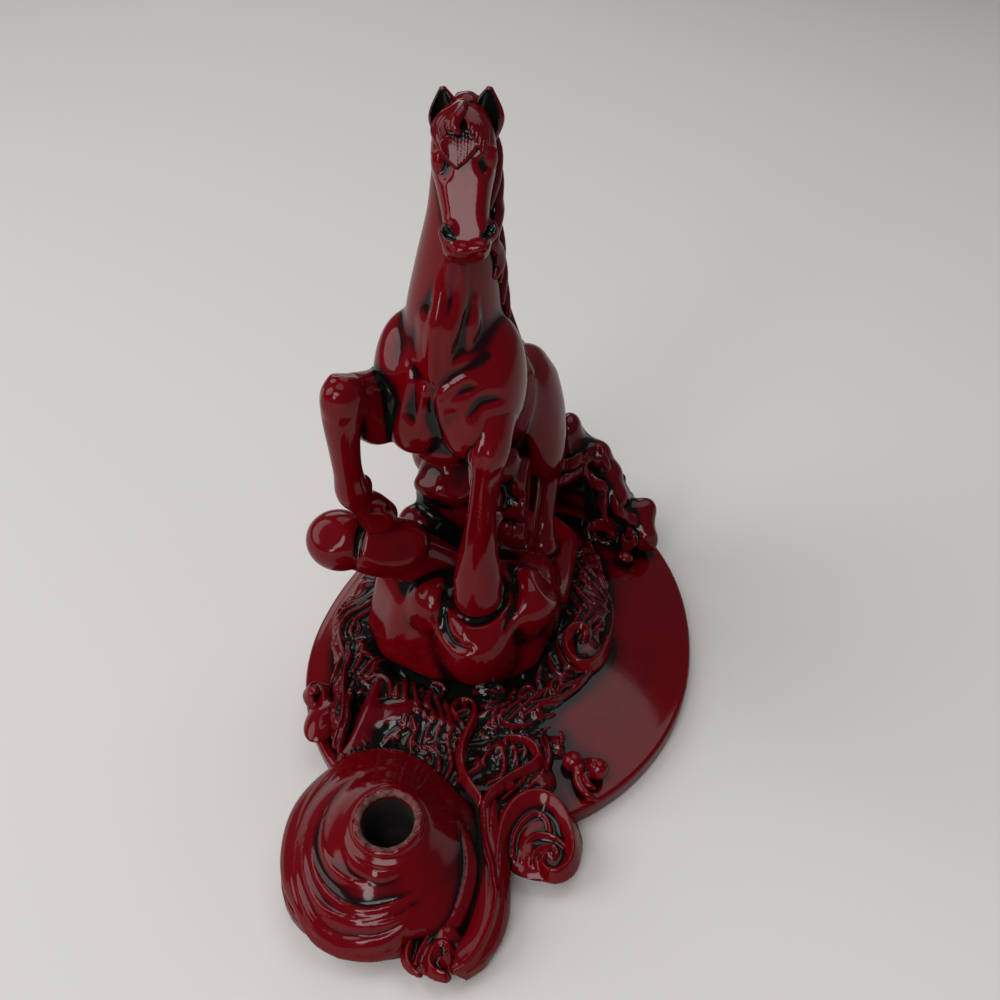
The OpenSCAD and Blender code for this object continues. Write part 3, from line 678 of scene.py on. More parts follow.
# Legs: stations down each leg, over the seat of the fore hoof
PLANTED = [
    [6.5, -3, 60, 4, 5], [9.3, -9.5, 58, 5.6, 6.8], [10.2, -14, 53.5, 4.9, 5.4],
    [10.2, -15, 50, 4.5, 4.6], [9.7, -14.8, 46, 3.9, 4.2], [8.6, -13.2, 37, 3.2, 3.6],
    [7.6, -11.3, 28.5, 3.5, 3.9], [6.9, -10.2, 22, 4.2, 4.5], [6.5, -9.9, 17.5, 4.8, 5],
    [6.4, -10, 14, 5.3, 5.6], [6.4, -10.3, 11, 5.7, 6], [6.5, -10.6, 7, 5.8, 6.2],
    [6.5, -10.6, 4.8, 5.2, 5.6], [6.5, -10.6, 4, 4.4, 4.8],
]
RAISED_ARM = [
    [-7, -2, 60, 5, 8], [-11.5, -7, 57, 6, 9], [-14, -12.5, 57, 6, 8.6], [-15.5, -18, 60.5, 5.2, 6.8],
    [-16.6, -24, 65, 4.4, 5], [-17.2, -27, 67.5, 2.6, 2.8],
]
RAISED_SHIN = [[-16.5, -25, 70.6, 2.8, 2.8], [-16.8, -26.3, 67, 4.5, 4.6], [-17.3, -26.6, 61.5, 4, 4.2],
               [-17.7, -25.6, 54, 3.3, 3.5], [-18, -24, 47, 3.1, 3.3], [-18.2, -22, 41, 3.6, 3.9],
               [-17.6, -19, 36.4, 3.2, 3.3], [-16.6, -15.6, 32.2, 4.1, 3.8], [-15.8, -12.7, 27.6, 4.8, 4.5]]
HIND = [
    [8, 38, 36, 7, 13], [12, 35, 30, 6.5, 12], [14, 33.5, 23, 5.6, 9.3], [14.6, 36.5, 17, 4.3, 6.2],
    [14.5, 40, 11.5, 3.4, 4.6], [14.3, 38.5, 5, 2.8, 3.2], [14, 36, -2, 2.9, 3.4],
    [14.2, 34.2, -5, 3.2, 3.5], [14.3, 33, -9.5, 4.3, 4.9], [14.3, 33, -10, 4.3, 4.9],
]
LEFT_HIND_BACK = -5.0
CANNON_RIDGES = [
    [(480, 440), (478, 460), (477, 480), (474, 505), (470, 530), (467, 549)],
    [(494, 440), (490, 460), (486, 480), (484, 505), (484, 530), (483, 549)],
]

# Joints of the legs: place and radii
PLANTED_KNEE = ((10, -18, 50.5), (3.4, 2.2, 3.6))
RAISED_KNEE = ((-17, -29.6, 66.5), (3, 2, 3.8))
RAISED_FETLOCK = ((-17.2, -18.6, 40.5), (2.2, 2, 2.2))
HOCK = ((14.5, 43, 12.5), (2.4, 2.6, 3))
HIND_FETLOCK = ((14.2, 38, -3.6), (2.2, 1.8, 2))
# Grooves over the hooves: middle, half width, half length and how far the rear rises
RAISED_CORONET = ((-16.7, -16, 32.8), 4.1, 3.9, -1.8)
HIND_CORONET = ((14.25, 33.4, -5.6), 3.9, 4.4, 0.4)
GROOVE_R = 0.45


def leg_clay(lofts):
    meshes = [loft(horse(rows)) for rows in lofts]
    points = np.vstack([mesh[0] for mesh in meshes])
    clay = Clay(points.min(0) - 2, points.max(0) + 2, cube=0.4)
    for mesh in meshes:
        clay.add(skin(mesh), blend=1.0)
    return clay.soften(0.4)


def hoof_line(clay, middle, half_w, half_l, rise):
    """The groove of the coronet over a hoof."""
    ring = []
    for t in np.linspace(0, 2 * math.pi, 33):
        offset = np.array([half_w * math.cos(t), half_l * math.sin(t), rise * math.sin(t)])
        ring.append([*(middle + offset), GROOVE_R])
    clay.cut(stroke(ring), blend=0.5)


def planted_foreleg(torso):
    clay = leg_clay([PLANTED])
    place, radii = PLANTED_KNEE
    clay.add(lump(on_horse(*place), radii), blend=1.4)
    for line in CANNON_RIDGES:
        clay.add(stroke(drawn(clay, line, [0.5, 1.3, 1.2, 1.2, 0.5], sink=0.75)), blend=0.6)
    clay.weld(torso, blend=2.0)
    piece("planted_foreleg_carved", ["planted_foreleg"], "lacquer", clay)


def raised_foreleg(torso):
    clay = leg_clay([RAISED_ARM, RAISED_SHIN])
    for (place, radii), blend in ((RAISED_KNEE, 1.2), (RAISED_FETLOCK, 1.6)):
        clay.add(lump(on_horse(*place), radii), blend)
    middle, *sizes = RAISED_CORONET
    hoof_line(clay, on_horse(*middle), *sizes)
    clay.weld(torso, blend=2.5)
    piece("raised_foreleg_carved", ["raised_foreleg"], "lacquer", clay)


def hind_leg(name, hand, back, trunk_shape):
    """A hind leg on the right where hand is 1 and on the left where it is -1, moved back by a distance."""

    def placed(x, y, z):
        return on_horse(hand * x, y + back, z)

    rows = np.array(HIND, float)
    rows[:, 0] *= hand
    rows[:, 1] += back
    clay = leg_clay([rows])
    for (place, radii), blend in ((HOCK, 1.2), (HIND_FETLOCK, 1.0)):
        clay.add(lump(placed(*place), radii), blend)
    middle, *sizes = HIND_CORONET
    hoof_line(clay, placed(*middle), *sizes)
    clay.weld(trunk_shape, blend=6.0)
    piece(name + "_carved", [name], "lacquer", clay)


# Head
HEAD_TURN = math.radians(13)
HEAD_SIDE = (math.cos(HEAD_TURN), math.sin(HEAD_TURN), 0)
HEAD = [
    [3.2, -0.5, 117, 2.6, 3], [3.6, -4.5, 114, 5.5, 6.4], [4.6, -9, 109.5, 6.2, 7.4],
    [5.6, -13.2, 105, 5.1, 6.1], [6.6, -16.8, 100.8, 4.3, 5], [7.3, -19.4, 97.9, 4.6, 4.6],
    [7.7, -20.7, 96.5, 4.3, 4], [7.95, -21.5, 95.6, 2.9, 2.7],
]
EYES = [(440, 162), (489, 158)]
BROWS = [[(452, 160), (443, 151), (434, 153)], [(478, 157), (486, 148), (495, 151)]]
NOSTRILS = [[(445, 227), (447, 233), (453, 237)], [(493, 225), (490, 231), (484, 236)]]
LIPS = [(460, 250), (477, 248)]
MOUTH = [(447, 246), (454, 254), (467, 257), (480, 254), (489, 244)]
BRIDGE_INSET = 1.0
# Radii of the forms of the face
EYE_SOCKET = (2.4, 2.4, 3.4)
EYEBALL = (1.6, 1.9, 2.6)
NOSTRIL_WING = (1.6, 1.5, 2)
LIP = (2.1, 1.5, 1.3)


def sunk(clay, pixel, radii, depth):
    """An egg-shaped form at a depth under the point of a clay that shows at a pixel of the photograph."""
    return lump(touch(clay, pixel) + depth * sight(pixel), radii)


def horse_head():
    clay = Clay(on_horse(-6, -28, 86), on_horse(16, 6, 122), cube=0.3)
    clay.add(skin(loft(horse(HEAD), HEAD_SIDE, power=2.7))).soften(0.6)
    brow_row, muzzle_row, lip_row = horse(HEAD)[[2, 5, 6]]
    lift = unit(np.cross(HEAD_SIDE, brow_row[:3] - lip_row[:3]))
    brow = brow_row[:3] + lift * brow_row[4]
    muzzle = muzzle_row[:3] + lift * muzzle_row[4]
    face = unit(np.cross(HEAD_SIDE, brow - muzzle))
    clay.cut(slab(muzzle - BRIDGE_INSET * face, face, reach=30), blend=0.5)
    for pixel, line in zip(EYES, BROWS):
        clay.cut(sunk(clay, pixel, EYE_SOCKET, depth=-1.8), blend=0.8)
        clay.add(sunk(clay, pixel, EYEBALL, depth=1.2), blend=0.25)
        clay.add(stroke(drawn(clay, line, [0.4, 0.8, 0.5], sink=0.2)), blend=0.5)
    holes = []
    for line in NOSTRILS:
        clay.add(sunk(clay, line[1], NOSTRIL_WING, depth=0.8), blend=1.0)
        holes.append(stroke(drawn(clay, line, [0.3, 0.8, 0.4], sink=0.2)))
        clay.cut(holes[-1], blend=0.3)
    for pixel in LIPS:
        clay.add(sunk(clay, pixel, LIP, depth=0.9), blend=0.6)
    clay.cut(stroke(drawn(clay, MOUTH, [0.3, 0.5, 0.5, 0.5, 0.3])), blend=0.3)
    piece("head_carved", ["head"], "lacquer", clay)
    DARKENED_HOLES["head_carved"] = holes
    return clay


# Ears: the middle between them, half the distance between them, and the hand and depth of each
EAR_X = 4.0
EAR_APART = 3.8
EAR_DEPTHS = ((-1, -4.6), (1, -3))
EAR_ROOT = 112.0
EAR_TIP = 121.8


def horse_ears():
    clay = Clay(on_horse(-4, -10, 109), on_horse(13, 1, 122), cube=0.2)
    hollows = []
    for hand, y in EAR_DEPTHS:
        x = EAR_X + hand * EAR_APART
        rise = EAR_TIP - EAR_ROOT
        leaf = [
            [x, y, EAR_ROOT, 1.8, 1.7],
            [x, y - 0.2, EAR_ROOT + 0.35 * rise, 3.2, 2],
            [x + 0.1 * hand, y - 0.2, EAR_ROOT + 0.65 * rise, 2.7, 1.7],
            [x + 0.5 * hand, y, EAR_TIP, 0.5, 0.4],
        ]
        hollow = [
            [x - 0.1 * hand, y - 2, EAR_ROOT + 0.3 * rise, 2.3],
            [x + 0.1 * hand, y - 1.9, EAR_ROOT + 0.55 * rise, 2.2],
            [x + 0.3 * hand, y - 1.1, EAR_ROOT + 0.86 * rise, 0.9],
        ]
        clay.add(skin(loft(horse(leaf), HEAD_SIDE)), blend=0.05)
        hollows.append(stroke(spline(horse(hollow), 6)))
        clay.cut(hollows[-1], blend=0.2)
    piece("ears_carved", ["ears"], "lacquer", clay)
    DARKENED_HOLES["ears_carved"] = hollows


# Forelock: a fringe between two lines, two lobes that part at the poll, and a curl between them
POLL = np.array([458, 99])
FRINGE_TOP = [(437, 132), (447, 130), (457, 132), (468, 130), (480, 132)]
FRINGE_END = [(442, 151), (449, 160), (457, 167), (466, 160), (475, 150)]
FRINGE_STRANDS = 13
LOBES = [[(462, 104), (451, 112), (441, 119), (435, 130), (437, 142)],
         [(462, 104), (473, 114), (482, 126), (485, 140), (483, 151)]]
LOBE_STRANDS = 5
LOBE_TURN = POLL + [4, 20]
# How far each strand of a lobe lies nearer to the turn than the one before
LOBE_STEP = 0.17
CROWN = ((3.7, -3.6, 117.4), (3.1, 3.3, 3.3))
S_CURL = [(464, 104), (461, 112), (457, 119), (455, 127), (458, 132)]


def horse_forelock(head):
    clay = Clay(on_horse(-4, -20, 104), on_horse(14, 4, 122), cube=0.22)
    place, radii = CROWN
    clay.add(lump(on_horse(*place), radii), blend=0.1)
    tops, ends = (np.column_stack([spread(axis, FRINGE_STRANDS) for axis in np.array(line).T])
                  for line in (FRINGE_TOP, FRINGE_END))
    for top, end in zip(tops, ends):
        line = [top, (top + end) / 2, end]
        clay.add(stroke(drawn(head, line, [0.9, 0.9, 0.6], sink=0.2)), blend=0.3)
        clay.add(stroke(drawn(head, line, [0.42, 0.42, 0.3], sink=-0.55)), blend=0.2)
    for line in LOBES:
        for k in range(LOBE_STRANDS):
            near = np.array(line) + (LOBE_TURN - line) * LOBE_STEP * k
            clay.add(stroke(drawn(head, near, [1.0, 1.1, 1.0, 0.6], sink=0.1 - 0.1 * k)), blend=0.3)
            clay.add(stroke(drawn(head, near, [0.4, 0.5, 0.5, 0.3], sink=-0.9 - 0.15 * k)), blend=0.06)
    clay.add(stroke(drawn(head, S_CURL, [0.7, 1.1, 1.0, 0.6], sink=-1.9)), blend=0.1)
    piece("forelock_carved", ["forelock"], "lacquer_dark", clay)


# Shares of a tail's half width: how far its strands lie from the middle, and their radius
STRAND_RING = 0.75
STRAND_R = 0.42
THINNEST = 0.35


def strands(clay, path, count, twist):
    """Hair along a path of x, y, z and half width: strands side by side that wind around it."""
    for k in range(count):
        rows = []
        for i, (x, y, z, half) in enumerate(path):
            a = 2 * math.pi * k / count + twist * i / (len(path) - 1)
            out = STRAND_RING * half
            rows.append([x + out * math.cos(a), y + out * math.sin(a) * 0.6, z + out * math.sin(a) * 0.8,
                         max(STRAND_R * half, THINNEST)])
        clay.add(stroke(spline(rows, 4)), blend=0.25)


CREST = [
    [3.6, -1, 118], [3.6, 2, 112], [3.4, 4.2, 104], [2.8, 6, 95], [2, 8.4, 86], [1.2, 11.6, 77],
    [0.8, 14.6, 69], [0.6, 17, 63],
]
CREST_R = 2.2
LOCKS = 15
# Lengths of the locks, and how far they vary
LOCK_LENGTH = 10
SIDE_LENGTH = 15
LENGTH_VARIES = 2
# Locks on the right of the neck: shares of their fall, and radii
SIDE_LOCKS = 7
SIDE_FALL = ((0.3, 2.0), (0.65, 1.8), (1.0, 0.6))
# How far their ends lie in front of their roots
SIDE_FORWARD = 8
LOW_LOCK = [(491, 238), (495, 250), (497, 262), (495, 276)]


def horse_mane(trunk):
    clay = Clay(on_horse(-6, -8, 52), on_horse(17, 26, 122), cube=0.35)
    crest = spline(horse(CREST), 6)
    clay.add(stroke([[*p, CREST_R] for p in crest]), blend=0.1)
    for k in range(LOCKS):
        at = crest[int(k * (len(crest) - 1) / LOCKS)]
        long = LOCK_LENGTH + LENGTH_VARIES * math.sin(2.1 * k)
        lock = [
            [*(at + [-1.2, -0.5, 1]), 1.2],
            [*(at + [1.8, 1.6, -1]), 1.7],
            [*(at + [3.4, 2.2, -0.5 * long]), 1.5],
            [*(at + [3.6 + 0.6 * math.sin(3 * k), 2.6, -long]), 0.5],
        ]
        clay.add(stroke(spline(lock, 5)), blend=0.3)
    for k in range(SIDE_LOCKS):
        root = crest[3 + 4 * k]
        fall = [[*root, 1.6]]
        for share, r in SIDE_FALL:
            drop = (SIDE_LENGTH + LENGTH_VARIES * math.sin(2.3 * k)) * share
            fall.append([*beside(trunk, root[1] - SIDE_FORWARD * share, root[2] - drop), r])
        clay.add(stroke(spline(fall, 5)), blend=0.4)
    lock = drawn(trunk, LOW_LOCK, [1.6, 1.8, 1.7, 0.8])
    root = on_horse(*CREST[2])
    middle = (root + lock[0, :3]) / 2
    fall = [[*root, 2.0], [*beside(trunk, middle[1], middle[2]), 2.0]]
    clay.add(stroke(spline([*fall, *lock[::5]], 6)), blend=0.5)
    piece("mane_carved", ["mane"], "lacquer_dark", clay)


TAIL = [
    [0, 46, 36, 2.6], [0, 54, 38, 3.2], [0, 60.5, 34.5, 3.6], [2, 65, 27, 3.6], [5.5, 67, 18, 3.4],
    [9.5, 67.6, 9, 2.8], [12.5, 67.5, 3, 1.4],
]
# The share of the tail's half width that its core fills under the strands
TAIL_CORE = 0.8


def horse_tail():
    clay = Clay(on_horse(-8, 40, -2), on_horse(20, 75, 46), cube=0.4)
    clay.add(stroke(spline(horse(TAIL) * [1, 1, 1, TAIL_CORE], 6)), blend=0.1)
    strands(clay, horse(TAIL), count=9, twist=2.4)
    piece("tail_carved", ["tail"], "lacquer_dark", clay)


# Rock
CRESCENT = [
    (450, 604), (456, 615), (467, 621), (480, 621), (493, 615), (502, 603), (505, 589), (502, 575),
    (494, 566),
]
ROCK_VALLEYS = [
    ([(453, 566), (449, 585), (444, 605), (442, 622), (447, 637), (458, 646), (470, 649)],
     [0.4, 1.0, 1.2, 1.0, 0.4]),
    ([(512, 565), (514, 590), (511, 612), (505, 628)], [0.4, 1.1, 1.1, 0.4]),
]
ROCK_LOBES = [
    ((-1.5, -13.6, 24), (8, 8.8, 10.6)), ((-13, -8.6, 32), (5.4, 5.6, 6)),
    ((9.2, -2, 30.6), (7, 8.6, 7.2)),
]
ROCK_FACETS = [
    [(526, 572), (553, 572), (532, 588)],
    [(462, 630), (500, 630), (482, 652)],
]
FACET_INSET = 0.9
FACET_REACH = 6
# The hollow in which the planted hoof stands
HOOF_SEAT = ((6.5, -10.6, 7), (8.2, 8.6, 3.6))


def facet(clay, corners):
    """Grinds a flat facet where three points of a surface show at pixels of the photograph."""
    a, b, c = (touch(clay, pixel) for pixel in corners)
    outward = unit(np.cross(b - a, c - a))
    middle = np.mean(corners, 0)
    if np.dot(outward, sight(middle)) > 0:
        outward = -outward
    clay.cut(slab(touch(clay, middle) - FACET_INSET * outward, outward, FACET_REACH), blend=0.5)


def boulder():
    clay = Clay(low("rock") - [1, 4, 1], high("rock") + 2, cube=0.45)
    clay.add(node_skin("rock"), blend=0.1).add(node_skin("base_dowels"), blend=0.8).soften(1.6)
    for centre, radii in ROCK_LOBES:
        clay.add(lump(centre, radii), blend=3.4)
    for line, widths in ROCK_VALLEYS:
        clay.cut(stroke(drawn(clay, line, widths)), blend=1.8)
    for corners in ROCK_FACETS:
        facet(clay, corners)
    place, radii = HOOF_SEAT
    clay.cut(lump(on_horse(*place), radii), blend=0.5)
    clay.cut(stroke(drawn(clay, CRESCENT, [0.3, 0.8, 1.0, 0.8, 0.3])), blend=1.0)
    piece("boulder", ["rock"], "lacquer", clay.soften(0.3))


SPUR = [
    [-11, 4, -1, 6.8], [-16, 0, 6, 6.5], [-21.5, -6.5, 13.5, 7], [-26, -11, 18, 7.2],
    [-30, -12.8, 19.6, 6.2], [-33.6, -13.8, 20.4, 7.2], [-35.4, -14.2, 20.6, 5.6],
]
SPUR_FACETS = [
    [(316, 532), (338, 524), (330, 548)], [(368, 538), (396, 536), (384, 558)],
    [(400, 536), (424, 546), (404, 562)],
]
SPUR_SPLIT = [(357, 556), (359, 545), (361, 532), (369, 520)]
# The lobe under the raised hoof: place over the seat, radii and turn in degrees
SPUR_LOBE = ((-22, -9, 17.5), (8.2, 5.8, 6.4), 28)


def spur():
    clay = Clay(low("rock_outcrop") - 1, high("rock_outcrop") + 1, cube=0.4)
    clay.add(stroke(spline(np.array(SPUR) + [0, 0, SEAT, 0], 6)), blend=0.1)
    place, radii, turn = SPUR_LOBE
    clay.add(lump(np.array(place) + [0, 0, SEAT], radii, turn), blend=1.5)
    for corners in SPUR_FACETS:
        facet(clay, corners)
    clay.cut(stroke(drawn(clay, SPUR_SPLIT, [0.5, 1.0, 1.0, 0.5])), blend=1.0)
    piece("spur", ["rock_outcrop"], "lacquer", clay)


LEAF_FACET = [(453, 477), (466, 477), (456, 496)]
LEAF_TIP = [((440, 485), 8, 3.0), ((422, 487), 8, 1.0)]
BELLY_LUMPS = [
    ((442, 485), 8.5, (7, 4.6, 3.4)), ((455, 486), 9.5, (4, 4.4, 4.4)), ((420, 522), 8, (5.5, 5, 4.6)),
    ((436, 526), 9, (3, 4, 5)), ((503, 462), 14, (4.2, 5, 5)), ((521, 478), 16, (4, 5, 5.5)),
    ((514, 503), 15, (4, 4.5, 4)), ((525, 507), 14, (2.6, 3.6, 3.6)), ((515, 530), 14, (4.4, 4.5, 5)),
    ((537, 540), 15, (3.4, 3.5, 3)), ((497, 496), 12, (2, 4, 4)),
]


def belly_lumps():
    clay = Clay(low("belly_support") - 3, high("belly_support") + [4, 3, 2], cube=0.4)
    clay.add(node_skin("belly_support"), blend=0.1).soften(1.2)
    for pixel, y, radii in BELLY_LUMPS:
        clay.add(lump(at_depth(pixel, y), radii), blend=1.7)
    clay.add(stroke([[*at_depth(pixel, y), r] for pixel, y, r in LEAF_TIP]), blend=1.2)
    facet(clay, LEAF_FACET)
    piece("belly_lumps", ["belly_support"], "lacquer_dark", clay.soften(0.3))


# Sea: each crest is a line in pixels of the photograph with its half widths in millimetres
FLANK_SLOPE = 0.7


def blade(path, drop, sharp=0.8, lean=0.0):
    """A crest along a path of x, y, z and half width, whose flanks fall by a drop. They flatten out like
    those of a wave where sharp is 1, and are round like a bead where it is 0. A lean over 0 widens the flank
    on the right of the path and narrows the left one."""
    path = np.asarray(path, float)

    def distance(x, y, z):
        share = np.full((x.size, y.size, 1), 99.0)
        top = np.zeros_like(share)
        half = np.ones_like(share)
        for a, b in zip(path, path[1:]):
            step = b - a
            f = ((x - a[0]) * step[0] + (y - a[1]) * step[1]) / max(step[0] ** 2 + step[1] ** 2, 1e-9)
            f = np.clip(f, 0, 1)
            gap = np.hypot(x - a[0] - f * step[0], y - a[1] - f * step[1])
            right = np.sign((x - a[0]) * step[1] - (y - a[1]) * step[0])
            wide = (a[3] + f * step[3]) * (1 + lean * right)
            nearer = gap / wide < share
            share = np.where(nearer, gap / wide, share)
            top = np.where(nearer, a[2] + f * step[2], top)
            half = np.where(nearer, wide, half)
        flank = np.minimum(share, 1)
        fall = drop * (sharp * (1 - (1 - flank) ** 2) + (1 - sharp) * flank ** 2)
        above = np.maximum((z - top + fall) * FLANK_SLOPE, (share - 1) * half)
        return np.maximum(above, top - drop - 1 - z)

    reach = max(path[:, 3].max() * (1 + abs(lean)), drop + 1)
    return Shape(path[:, :3], reach, distance)


def crests(clay, body, lines, lift, drop, sharp=0.8, lean=0.0, blend=0.3):
    """Adds crests that stand over the surface of a body, by a lift where they are widest."""
    for line, widths in lines:
        path = drawn(body, line, widths)
        toward = CAMERA_AT - path[:, :3]
        toward /= np.linalg.norm(toward, axis=1)[:, None]
        path[:, :3] += lift * toward * (path[:, 3:] / path[:, 3].max())
        clay.add(blade(path, drop, sharp, lean), blend)


# Streaks: length and bend in pixels, turn in radians and lift in millimetres
STREAK_LENGTH = (6, 13)
STREAK_BEND = 1.5
STREAK_TURN = 0.5
STREAK_LIFT = (0.6, 1.4)
STREAK_SEED = 7


def streaks(clay, body, patches):
    """Short crests of ragged water over patches of the photograph: left, top, right, bottom, their lean from
    the vertical in radians and their number."""
    chance = np.random.default_rng(STREAK_SEED)
    for left, top, right, bottom, lean, count in patches:
        for _ in range(count):
            start = np.array([chance.uniform(left, right), chance.uniform(top, bottom)])
            angle = lean + chance.uniform(-STREAK_TURN, STREAK_TURN)
            end = start + chance.uniform(*STREAK_LENGTH) * np.array([math.sin(angle), math.cos(angle)])
            bend = (start + end) / 2 + chance.uniform(-STREAK_BEND, STREAK_BEND, 2)
            sink = -chance.uniform(*STREAK_LIFT)
            path = drawn(body, [start, bend, end], [0.6, 1.3, 0.5], sink, steps=3)
            clay.add(blade(path, drop=1.8), blend=0.2)


DRIPS = [
    [(390, 683), (391, 698)], [(397, 686), (397, 698)], [(405, 681), (405, 698)],
    [(413, 684), (418, 709)], [(421, 686), (428, 706)], [(428, 692), (434, 718)],
    [(436, 697), (443, 722)], [(446, 705), (451, 728)],
]
BUBBLES = [
    (401, 724), (404, 728), (417, 729), (398, 738), (426, 739), (410, 742), (415, 744), (420, 747),
    (433, 750),
]
EDDIES = [
    ([(430, 690), (431, 682), (437, 680), (442, 682), (443, 690)], [0.6, 0.9, 0.6]),
    ([(505, 702), (498, 706), (494, 713), (495, 720), (500, 724)], [0.6, 0.9, 0.6]),
    ([(506, 703), (501, 709), (502, 716), (509, 721), (524, 722), (531, 718)], [0.7, 1.0, 0.7]),
    ([(486, 764), (484, 755), (490, 747), (497, 743), (503, 746)], [0.6, 0.9, 0.6]),
    ([(545, 733), (549, 744), (550, 755), (547, 767)], [0.8, 1.0, 0.7]),
    ([(541, 735), (545, 746), (546, 757), (543, 768)], [0.6, 0.8, 0.6]),
]
ARCHES = [
    ([(352, 692), (350, 677), (351, 663), (355, 655), (361, 650), (368, 650), (372, 655), (372, 662),
      (368, 667)], [0.9, 1.3, 1.5, 1.0]),
    ([(358, 694), (364, 681), (371, 674), (380, 672), (387, 676), (391, 684), (391, 696)],
     [0.9, 1.5, 1.6, 1.0]),
]
PATCHES = [(398, 660, 450, 716, 0.3, 20), (405, 722, 452, 750, 1.4, 6), (484, 738, 524, 764, 2.0, 12),
           (476, 692, 540, 736, 1.0, 16), (440, 672, 524, 690, 1.5, 16), (452, 716, 462, 750, 0.3, 5)]
FOAM_ROWS = [
    [[-27, -15, 7, 6], [-20, -20, 6.5, 6.5], [-10, -23.5, 6, 7], [2, -24, 6, 7], [11, -20, 6, 7],
     [15, -13, 6, 6.5]],
    [[-20, -27, 5.5, 6.5], [-11, -31, 5, 6.5], [-1, -33, 4.5, 6.5], [9, -32, 4.5, 6.5],
     [18, -28, 4.5, 6]],
    [[-8, -40, 4, 6.5], [2, -42, 4, 6], [10, -42, 4, 6], [18, -38, 4, 6]],
    [[5, -48, 3.5, 5.5], [12, -49, 3.5, 5.5]],
]
APRON = [(352, 740), (376, 724), (404, 718), (430, 724), (450, 740)]
SHEET = (
    [(376, 680), (371, 697), (365, 714), (355, 735), (343, 752)],
    [14.5, 14, 12.5, 10.5, 8],
    [4, 5.4, 6.4, 6.4, 5],
)


def foam():
    clay = Clay(low("foam_bed") - [8, 36, 0], high("foam_bed") + [4, 4, 6], cube=0.32)
    for row in FOAM_ROWS:
        clay.add(stroke(spline(row, 6)), blend=3)
    clay.soften(1.0)
    body = clay.copy()
    clay.ripple(depth=1.6, length=3.5, heading=72, wander=0.8)
    clay.ripple(depth=0.5, length=2.2, heading=30, wander=0.9)
    apron = drawn(body, APRON, [3.5, 4.6, 5, 4.6, 3.5], sink=3.3)
    for water in (clay, body):
        water.add(stroke(apron), blend=1.5)
        water.add(blade(over(*SHEET), drop=6, sharp=0.1, lean=-0.35), blend=2.0)
    streaks(clay, body, PATCHES)
    for line in DRIPS:
        clay.add(stroke(drawn(body, line, [0.7, 1.1, 0.9], sink=0.1)), blend=0.3)
    for pixel in BUBBLES:
        clay.add(lump(touch(body, pixel), (0.7, 0.7, 0.7)), blend=0.2)
    crests(clay, body, EDDIES, lift=1.9, drop=2.8, sharp=0.5)
    crests(clay, body, ARCHES, lift=2.4, drop=4.0, sharp=0.5)
    piece("foam", ["foam_bed"], "lacquer_dark", clay.soften(0.2))
    return body


# Ribs: distance, radius, how deep they sink in, and how many of their steps are left out under the crest
RIB_GAP = 3.4
RIB_R = 1.7
RIB_SINK = 1.0
RIB_STEP = 2.0
RIB_END = 3
RIB_SWAY = 1.6
# A rib has a step only where the line of sight ends this near to the surface
ON_SURFACE = 0.4


def back_ribs(clay, name):
    """Ribs of water that sway up the back of a wave, seen from behind."""
    body = clay.copy()
    behind = high(name)[1] + BEHIND_AWAY
    for x in np.arange(low(name)[0] + RIB_GAP / 2, high(name)[0], RIB_GAP):
        rows = []
        for z in np.arange(PLATE_TOP + 1, high(name)[2], RIB_STEP):
            eye = np.array([x + RIB_SWAY * math.sin(z / 7 + x / 9), behind, z])
            at = struck(body, eye, np.array([0, -1, 0]))
            if abs(body.sample(at[None, :])[0]) < ON_SURFACE:
                rows.append([at[0], at[1] - RIB_SINK, at[2], RIB_R])
        if len(rows) > RIB_END + 1:
            clay.add(stroke(spline(rows[:-RIB_END], 3)), blend=0.8)


# How far a wave may reach beyond its solid
WAVE_REACH = 4.0


def wave(name, lines, banks=(), lumps=(), hollows=(), patches=(), rough=0.0, ribbed=False, core=True):
    """A wave: banks of water and lumps of spray, with hollows cut in and crests over them. It is built on
    its solid where core is true, and on the banks alone where it is false."""
    clay = Clay(low(name) - [WAVE_REACH, WAVE_REACH, 0], high(name) + WAVE_REACH, cube=0.32)
    if core:
        clay.add(node_skin(name), blend=0.1)
    for bank in banks:
        clay.add(stroke(spline(bank, 6)), blend=2.0)
    clay.soften(0.9)
    for pixel, y, radii in lumps:
        clay.add(lump(at_depth(pixel, y), radii), blend=3.2)
    for centre, radii in hollows:
        clay.cut(lump(centre, radii), blend=1.0)
    body = clay.copy()
    clay.ripple(depth=rough, length=3.6, heading=90, wander=0.8)
    clay.ripple(depth=0.35 * rough, length=2.2, heading=30, wander=0.9)
    streaks(clay, body, patches)
    crests(clay, body, lines, lift=2.0, drop=3.2, sharp=0.45)
    if ribbed:
        back_ribs(clay, name)
    piece(name + "_carved", [name], "lacquer_dark", clay.soften(0.2))


LEFT_BANK = [
    [-30, -36, 8, 2], [-31, -30, 9.5, 2.6], [-33, -22, 10.5, 3], [-36, -13, 11, 3], [-39.5, -3, 11, 3],
    [-39, 12, 11, 3.5], [-36.5, 26, 11, 4], [-31, 39, 11, 4],
]
LEFT_FOAM = [[-29, -18, 7.5, 6], [-32, -8, 7.5, 6.5], [-34, 6, 7.5, 7], [-33, 22, 7.5, 7], [-31, 34, 7, 7]]
LEFT_LINES = [
    ([(349, 640), (347, 655), (344, 668), (343, 682), (343, 697), (342, 711), (338, 724), (334, 735)],
     [0.8, 1.2, 1.4, 0.8]),
    ([(352, 690), (348, 702), (347, 715), (343, 728), (339, 741)], [0.8, 1.2, 0.8]),
    ([(338, 612), (339, 628), (342, 643), (345, 655)], [0.8, 1.2, 0.8]),
]
LEFT_PATCHES = [(338, 600, 362, 648, -0.2, 12)]
